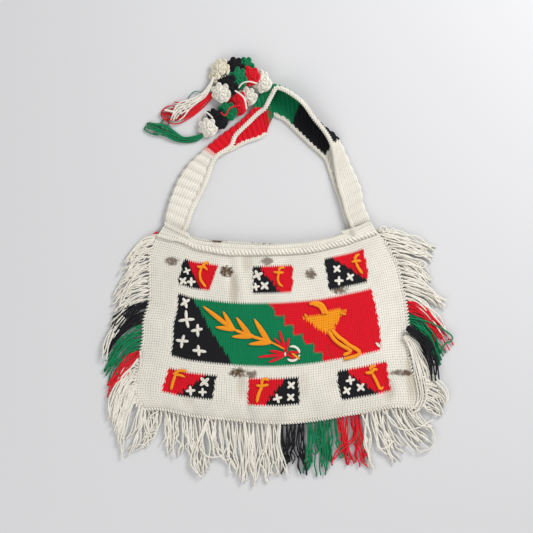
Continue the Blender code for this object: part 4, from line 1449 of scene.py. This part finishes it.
def tassel_work(base, points, rng, strands):
    """The yarns of a tassel, spread over its width."""
    work = YarnWork(sides=5)
    rows = np.asarray(points, float)
    for _ in range(strands):
        offset = rng.uniform(-0.5, 0.5)
        end = rng.uniform(0.78, 1.0) * (len(rows) - 1)
        places = np.linspace(0, end, 22)
        row = smooth_rows(rows, places)
        middle, width = row[:, :2], row[:, 2]
        heading = unit(np.gradient(middle, axis=0))
        aside = np.stack([-heading[:, 1], heading[:, 0]], axis=1)
        share = np.linspace(0, 1, len(places))
        sway = offset + 0.18 * np.sin(2 * math.pi * (1.4 * share + rng.random())) * share
        flat = middle + aside * (sway * np.maximum(width - 2, 2))[:, None]
        height = base + 1.1 + (TASSEL_THICKNESS - 2.0) * (
            0.5 + 0.45 * np.sin(2 * math.pi * (1.1 * share + rng.random())))
        work.add(np.column_stack([flat, height]), 0.95)
    return work

# ---------------------------------------------------------------------------------------------
# Settings
# ---------------------------------------------------------------------------------------------


def colour_property(name, description, default):
    return bpy.props.FloatVectorProperty(
        name=name, description=description, default=default, min=0.0, max=1.0, size=3,
        subtype="COLOR",
    )


class BilumPalette(bpy.types.PropertyGroup):
    """Colours of the yarns."""

    white: colour_property("White", "Natural white yarn", (0.82, 0.785, 0.695))
    cream: colour_property("Cream", "Yellowed yarn of one flower", (0.77, 0.71, 0.56))
    black: colour_property("Black", "Black yarn", (0.011, 0.011, 0.014))
    green: colour_property("Green", "Green yarn", (0.0, 0.20, 0.075))
    red: colour_property("Red", "Red yarn", (0.72, 0.004, 0.016))
    gold: colour_property("Gold", "Gold yarn of the needlework", (0.95, 0.32, 0.008))


class BilumClothSettings(bpy.types.PropertyGroup):
    """Sizes of the looped cloth."""

    front_stitches: bpy.props.IntProperty(
        name="Front stitches", description="Stitches across the front", default=112, min=20)
    front_courses: bpy.props.IntProperty(
        name="Front courses", description="Courses up the front", default=70, min=10)
    back_stitches: bpy.props.IntProperty(
        name="Back stitches", description="Stitches across the back", default=104, min=20)
    back_courses: bpy.props.IntProperty(
        name="Back courses", description="Courses up the back", default=60, min=10)
    strap_stitches: bpy.props.IntProperty(
        name="Strap stitches", description="Stitches across the strap", default=20, min=6)
    strap_courses: bpy.props.IntProperty(
        name="Strap courses", description="Courses along the strap", default=180, min=20)
    relief: bpy.props.FloatProperty(
        name="Stitch relief", description="Height of a stitch over the gaps beside it",
        default=1.2 * MM, min=0.0, max=2.0 * MM, subtype="DISTANCE", unit="LENGTH")


class BilumYarnSettings(bpy.types.PropertyGroup):
    """The loose yarns."""

    seed: bpy.props.IntProperty(
        name="Seed", description="Start of the random lie of the loose yarns", default=7, min=0)
    tassel_yarns: bpy.props.IntProperty(
        name="Tassel yarns", description="Yarns in each tassel", default=13, min=3)


class BilumStageSettings(bpy.types.PropertyGroup):
    """The floor and the light."""

    floor: colour_property("Floor", "Colour of the floor", (0.6, 0.6, 0.61))
    key_power: bpy.props.FloatProperty(
        name="Key light", description="Power of the main soft light", default=24.0, min=0.0,
        unit="POWER")
    fill_power: bpy.props.FloatProperty(
        name="Fill light", description="Power of the weaker soft light", default=11.0, min=0.0,
        unit="POWER")
    sky: bpy.props.FloatProperty(
        name="Sky", description="Strength of the light from all round", default=0.52, min=0.0)


def palette():
    return bpy.context.scene.bilum_palette


def loose_finish(colour):
    """The finish of loose yarn in one of the palette's colours."""
    return yarn_finish("yarn_" + colour, getattr(palette(), colour), True)


def yarn_rng(key):
    """Random numbers of one piece, the same each run."""
    return np.random.default_rng([bpy.context.scene.bilum_yarn.seed] + [ord(c) for c in key])


# ---------------------------------------------------------------------------------------------
# Operators
# ---------------------------------------------------------------------------------------------


class BILUM_OT_fringes(bpy.types.Operator):
    """Hang the knotted yarns along both sides and the foot"""

    bl_idname = "bilum.fringes"
    bl_label = "Fringes"

    def execute(self, context):
        for side in SIDES:
            for comb, span in comb_spans(side).items():
                colour = next(name for name in YARNS if "_" + name in comb)
                work = comb_yarns(side, comb, span, yarn_rng(comb))
                work.piece(comb + "_yarns", colour, (comb,))
        return {"FINISHED"}


class BILUM_OT_body(bpy.types.Operator):
    """Work the front, the back and the heading of the bag"""

    bl_idname = "bilum.body"
    bl_label = "Body"

    def execute(self, context):
        cloth = context.scene.bilum_cloth
        front = looped_cloth(
            "front_cloth", FRONT.at, (cloth.front_stitches, cloth.front_courses), CLOTH,
            "front_panel", front_chart, teeth=FRONT_TEETH, lift=front_creases)
        back = looped_cloth(
            "back_cloth", BACK.at, (cloth.back_stitches, cloth.back_courses), CLOTH,
            "back_panel", outer=-1.0)
        band = looped_cloth(
            "heading_front", FRONT_BAND.at, HEADING_SIZE, BAND, "mouth_band_front",
            two_sided=True, lift=heading_rope)
        back_band = looped_cloth(
            "heading_back", BACK_BAND.at, HEADING_SIZE, BAND, "mouth_band_back", two_sided=True)
        heading_seams().piece("heading_stitches", "white")
        edge_hitches().piece("bottom_stitches", "white")
        declare_cloth(BACK.at)
        declare_cloth(FRONT.at)
        declare_cloth(FRONT_BAND.at, lift=heading_rope)
        declare_cloth(BACK_BAND.at)
        return {"FINISHED"}


def heading_rope(across, up):
    """The heading's thick first row, which fades out where the strap runs into the body."""

    def ridge(middle, half_width, height):
        return height * np.exp(-((up - middle) / half_width) ** 2)

    fade = np.clip((across - 0.1) / 0.1, 0.15, 1)
    return fade * (ridge(0.2, 0.13, 2.1) - ridge(0.5, 0.12, 0.6)) + ridge(0.9, 0.1, 0.7)


def seam_stitches(work, places, pitch, reach, radius, taper=0):
    """A row of slanted stitches along a line on the cloth.

    reach is half a stitch's length, and the first taper stitches grow from small to full.
    """
    line = spaced_line(places, pitch)
    ahead = unit(np.gradient(line, axis=0))
    aside = unit(np.cross((0, 0, 1.0), ahead))
    share = np.linspace(-1, 1, 7)[:, None]
    for k, (middle, way, cross) in enumerate(zip(line, ahead, aside)):
        size = min(1.0, 0.35 + 0.65 * k / taper) if taper else 1.0
        route = middle + share * reach * size * (0.8 * cross - 0.6 * way)
        route = route + (1 - share**2) * radius * 0.7 * size * np.array((0, 0, 1.0))
        work.add(route - (0, 0, 1.2 * (1 - size)), radius * size)


def line_across(patch, start, end, points, up, shift):
    """A line across a patch, shifted on to its face or its edge."""
    across = np.linspace(start, end, points)
    return patch.at(across, np.full(points, float(up))) + shift


def heading_seams():
    """The rope-like first row of the heading, and the flat rows at the strap's two feet."""
    work = YarnWork()
    rope = line_across(FRONT, 0.07, 0.985, 160, 1, (0, 1.2, CLOTH / 2 + 2.0))
    seam_stitches(work, rope, pitch=4.9, reach=3.3, radius=1.65, taper=9)
    under = rope + (2.4, -1.0, -0.9)
    seam_stitches(work, under, pitch=4.9, reach=3.0, radius=1.3, taper=9)
    flat = line_across(FRONT, 0.004, 0.07, 20, 1, (0, 0.4, CLOTH / 2 + 1.0))
    seam_stitches(work, flat, pitch=2.7, reach=2.2, radius=1.0)
    for start, end, shift in ((0.004, 0.125, (0, 0.6, BAND / 2 + 0.4)),
                              (0.86, 0.99, (0, 0.8, BAND / 2 + 0.2))):
        foot = line_across(FRONT_BAND, start, end, 30, 1, shift)
        seam_stitches(work, foot, pitch=2.5, reach=3.2, radius=1.05)
    return work


def edge_hitches():
    """The bound-off row along the bottom edge of the front, and the hitches up its two sides."""
    work = YarnWork()
    foot = line_across(FRONT, 0.01, 0.985, 180, 0, (0, 0.4, CLOTH / 2 + 0.3))
    seam_stitches(work, foot, pitch=3.6, reach=2.1, radius=1.15)
    up = np.linspace(0.04, 0.93, 120)
    for across, inwards in ((0.0, 0.2), (1.0, -0.2)):
        row = FRONT.at(np.full(len(up), across), up) + (inwards, 0, CLOTH / 2 - 0.2)
        seam_stitches(work, row, pitch=4.4, reach=2.4, radius=1.1)
    return work


class BILUM_OT_strap(bpy.types.Operator):
    """Work the ribbed, folded strap and its two herringbone edgings"""

    bl_idname = "bilum.strap"
    bl_label = "Strap"

    def execute(self, context):
        cloth = context.scene.bilum_cloth
        strap = looped_cloth(
            "strap_cloth", strap_middle, (cloth.strap_stitches, cloth.strap_courses), CLOTH,
            "strap", strap_chart, two_sided=True, lift=strap_ribs)
        declare_cloth(strap_middle)
        places = np.linspace(-0.1, STRAP_LAST + 0.1, 8 * STRAP_LAST + 1)
        work = YarnWork()
        for run in (places[places <= HIDDEN_BRAID[0]], places[places >= HIDDEN_BRAID[1]]):
            braid(work, braid_line(run, True), height=1.3, radius=1.15)
        work.piece("strap_braid_back", "white", ("strap_edging_back",))
        work = YarnWork()
        braid(work, braid_line(places, False), height=1.4, radius=1.2)
        work.piece("strap_braid_front", "white", ("strap_edging_front",))
        return {"FINISHED"}


class BILUM_OT_needlework(bpy.types.Operator):
    """Sew the stars, the gold branch, the birds and the red flower on the front"""

    bl_idname = "bilum.needlework"
    bl_label = "Needlework"

    def execute(self, context):
        stars_work().piece("white_stars", "white")
        flower_work().piece("red_flower", "red")
        gold_work().piece("gold_birds_and_branch", "gold")
        return {"FINISHED"}


class BILUM_OT_flowers(bpy.types.Operator):
    """Loop the yarn flowers of the three strands"""

    bl_idname = "bilum.flowers"
    bl_label = "Yarn flowers"

    def execute(self, context):
        for strand in STRANDS:
            for puff in strand:
                name, colour = puff[:2]
                work = puff_work(strand, puff, yarn_rng(name))
                work.piece(name + "_loops", colour, (name,))
        return {"FINISHED"}


class BILUM_OT_tassels(bpy.types.Operator):
    """Lay out the three tassels"""

    bl_idname = "bilum.tassels"
    bl_label = "Tassels"

    def execute(self, context):
        for name, colour, base, points in TASSELS:
            work = tassel_work(base, points, yarn_rng(name), context.scene.bilum_yarn.tassel_yarns)
            work.piece(name + "_yarns", colour, (name,))
        return {"FINISHED"}


class BILUM_OT_tails(bpy.types.Operator):
    """Lay the loose yarn ends round the yarn flowers and tassels"""

    bl_idname = "bilum.tails"
    bl_label = "Loose ends"

    def execute(self, context):
        for colour in ("white", "red", "green"):
            work = YarnWork()
            for yarn, radius, points in TAILS:
                if yarn == colour:
                    work.add(spaced_line(np.asarray(points, float), 1.6), radius)
            work.piece("loose_ends_" + colour, colour)
        return {"FINISHED"}


FLOOR_LEVEL = -0.0005  # half a millimetre down, where the lowest yarns press in
CAMERA_AIM = (-14.0, 7.0)
VIEW_WIDTH = 0.72  # what the view shows on the floor, in metres
CAMERA_LENS = 85.0
SENSOR = 36.0


def add_lamp(context, name, power, size, place):
    """A square soft light at a place in metres, turned to the bag."""
    data = bpy.data.lights.new(name, "AREA")
    data.energy = power
    data.size = size
    lamp = bpy.data.objects.new(name, data)
    lamp.location = place
    x, y, z = place
    lamp.rotation_euler = (
        math.atan2(math.hypot(x, y), z), 0.0, math.atan2(y, x) + math.pi / 2)
    context.scene.collection.objects.link(lamp)


def add_camera(context):
    """A camera straight above the bag."""
    data = bpy.data.cameras.new("camera")
    data.lens = CAMERA_LENS
    data.sensor_width = SENSOR
    data.clip_end = 20.0
    camera = bpy.data.objects.new("camera", data)
    camera.location = (CAMERA_AIM[0] * MM, CAMERA_AIM[1] * MM,
                       VIEW_WIDTH * CAMERA_LENS / SENSOR)
    context.scene.collection.objects.link(camera)
    context.scene.camera = camera


class BILUM_OT_stage(bpy.types.Operator):
    """Add the floor, the soft lights and the camera straight above"""

    bl_idname = "bilum.stage"
    bl_label = "Stage"

    def execute(self, context):
        settings = context.scene.bilum_stage
        bpy.ops.mesh.primitive_plane_add(size=8.0, location=(0, 0, FLOOR_LEVEL))
        floor = context.object
        floor.name = "floor"
        finish = Finish("floor")
        finish.shader.inputs["Base Color"].default_value = (*settings.floor, 1.0)
        finish.shader.inputs["Roughness"].default_value = 0.9
        floor.data.materials.append(finish.material)
        add_lamp(context, "key", settings.key_power, 0.7, (1.0, 0.95, 1.05))
        add_lamp(context, "fill", settings.fill_power, 1.4, (-0.6, -1.0, 1.3))
        world = bpy.data.worlds.new("studio")
        world.use_nodes = True
        background = world.node_tree.nodes["Background"]
        background.inputs["Color"].default_value = (1.0, 1.0, 1.0, 1.0)
        background.inputs["Strength"].default_value = settings.sky
        context.scene.world = world
        add_camera(context)
        context.scene.view_settings.view_transform = "Standard"
        return {"FINISHED"}


class BILUM_PT_panel(bpy.types.Panel):
    """The bag's settings and its steps"""

    bl_label = "Bilum String Bag"
    bl_space_type = "VIEW_3D"
    bl_region_type = "UI"
    bl_category = "Bilum"

    def draw(self, context):
        scene = context.scene
        for group in (scene.bilum_palette, scene.bilum_cloth, scene.bilum_yarn, scene.bilum_stage):
            box = self.layout.box()
            for name in group.__annotations__:
                box.prop(group, name)
        for operator in OPERATORS:
            self.layout.operator(operator.bl_idname)


GROUPS = (
    ("bilum_palette", BilumPalette), ("bilum_cloth", BilumClothSettings),
    ("bilum_yarn", BilumYarnSettings), ("bilum_stage", BilumStageSettings),
)
OPERATORS = (
    BILUM_OT_stage, BILUM_OT_fringes, BILUM_OT_body, BILUM_OT_strap, BILUM_OT_needlework,
    BILUM_OT_flowers, BILUM_OT_tassels, BILUM_OT_tails,
)


def register():
    for name, group in GROUPS:
        bpy.utils.register_class(group)
        setattr(bpy.types.Scene, name, bpy.props.PointerProperty(type=group))
    for operator in OPERATORS:
        bpy.utils.register_class(operator)
    bpy.utils.register_class(BILUM_PT_panel)


def unregister():
    bpy.utils.unregister_class(BILUM_PT_panel)
    for operator in reversed(OPERATORS):
        bpy.utils.unregister_class(operator)
    for name, group in reversed(GROUPS):
        delattr(bpy.types.Scene, name)
        bpy.utils.unregister_class(group)


def main():
    register()
    bpy.ops.bilum.stage()
    bpy.ops.bilum.fringes()
    bpy.ops.bilum.body()
    bpy.ops.bilum.strap()
    bpy.ops.bilum.needlework()
    bpy.ops.bilum.flowers()
    bpy.ops.bilum.tassels()
    bpy.ops.bilum.tails()


if __name__ == "__main__":
    main()
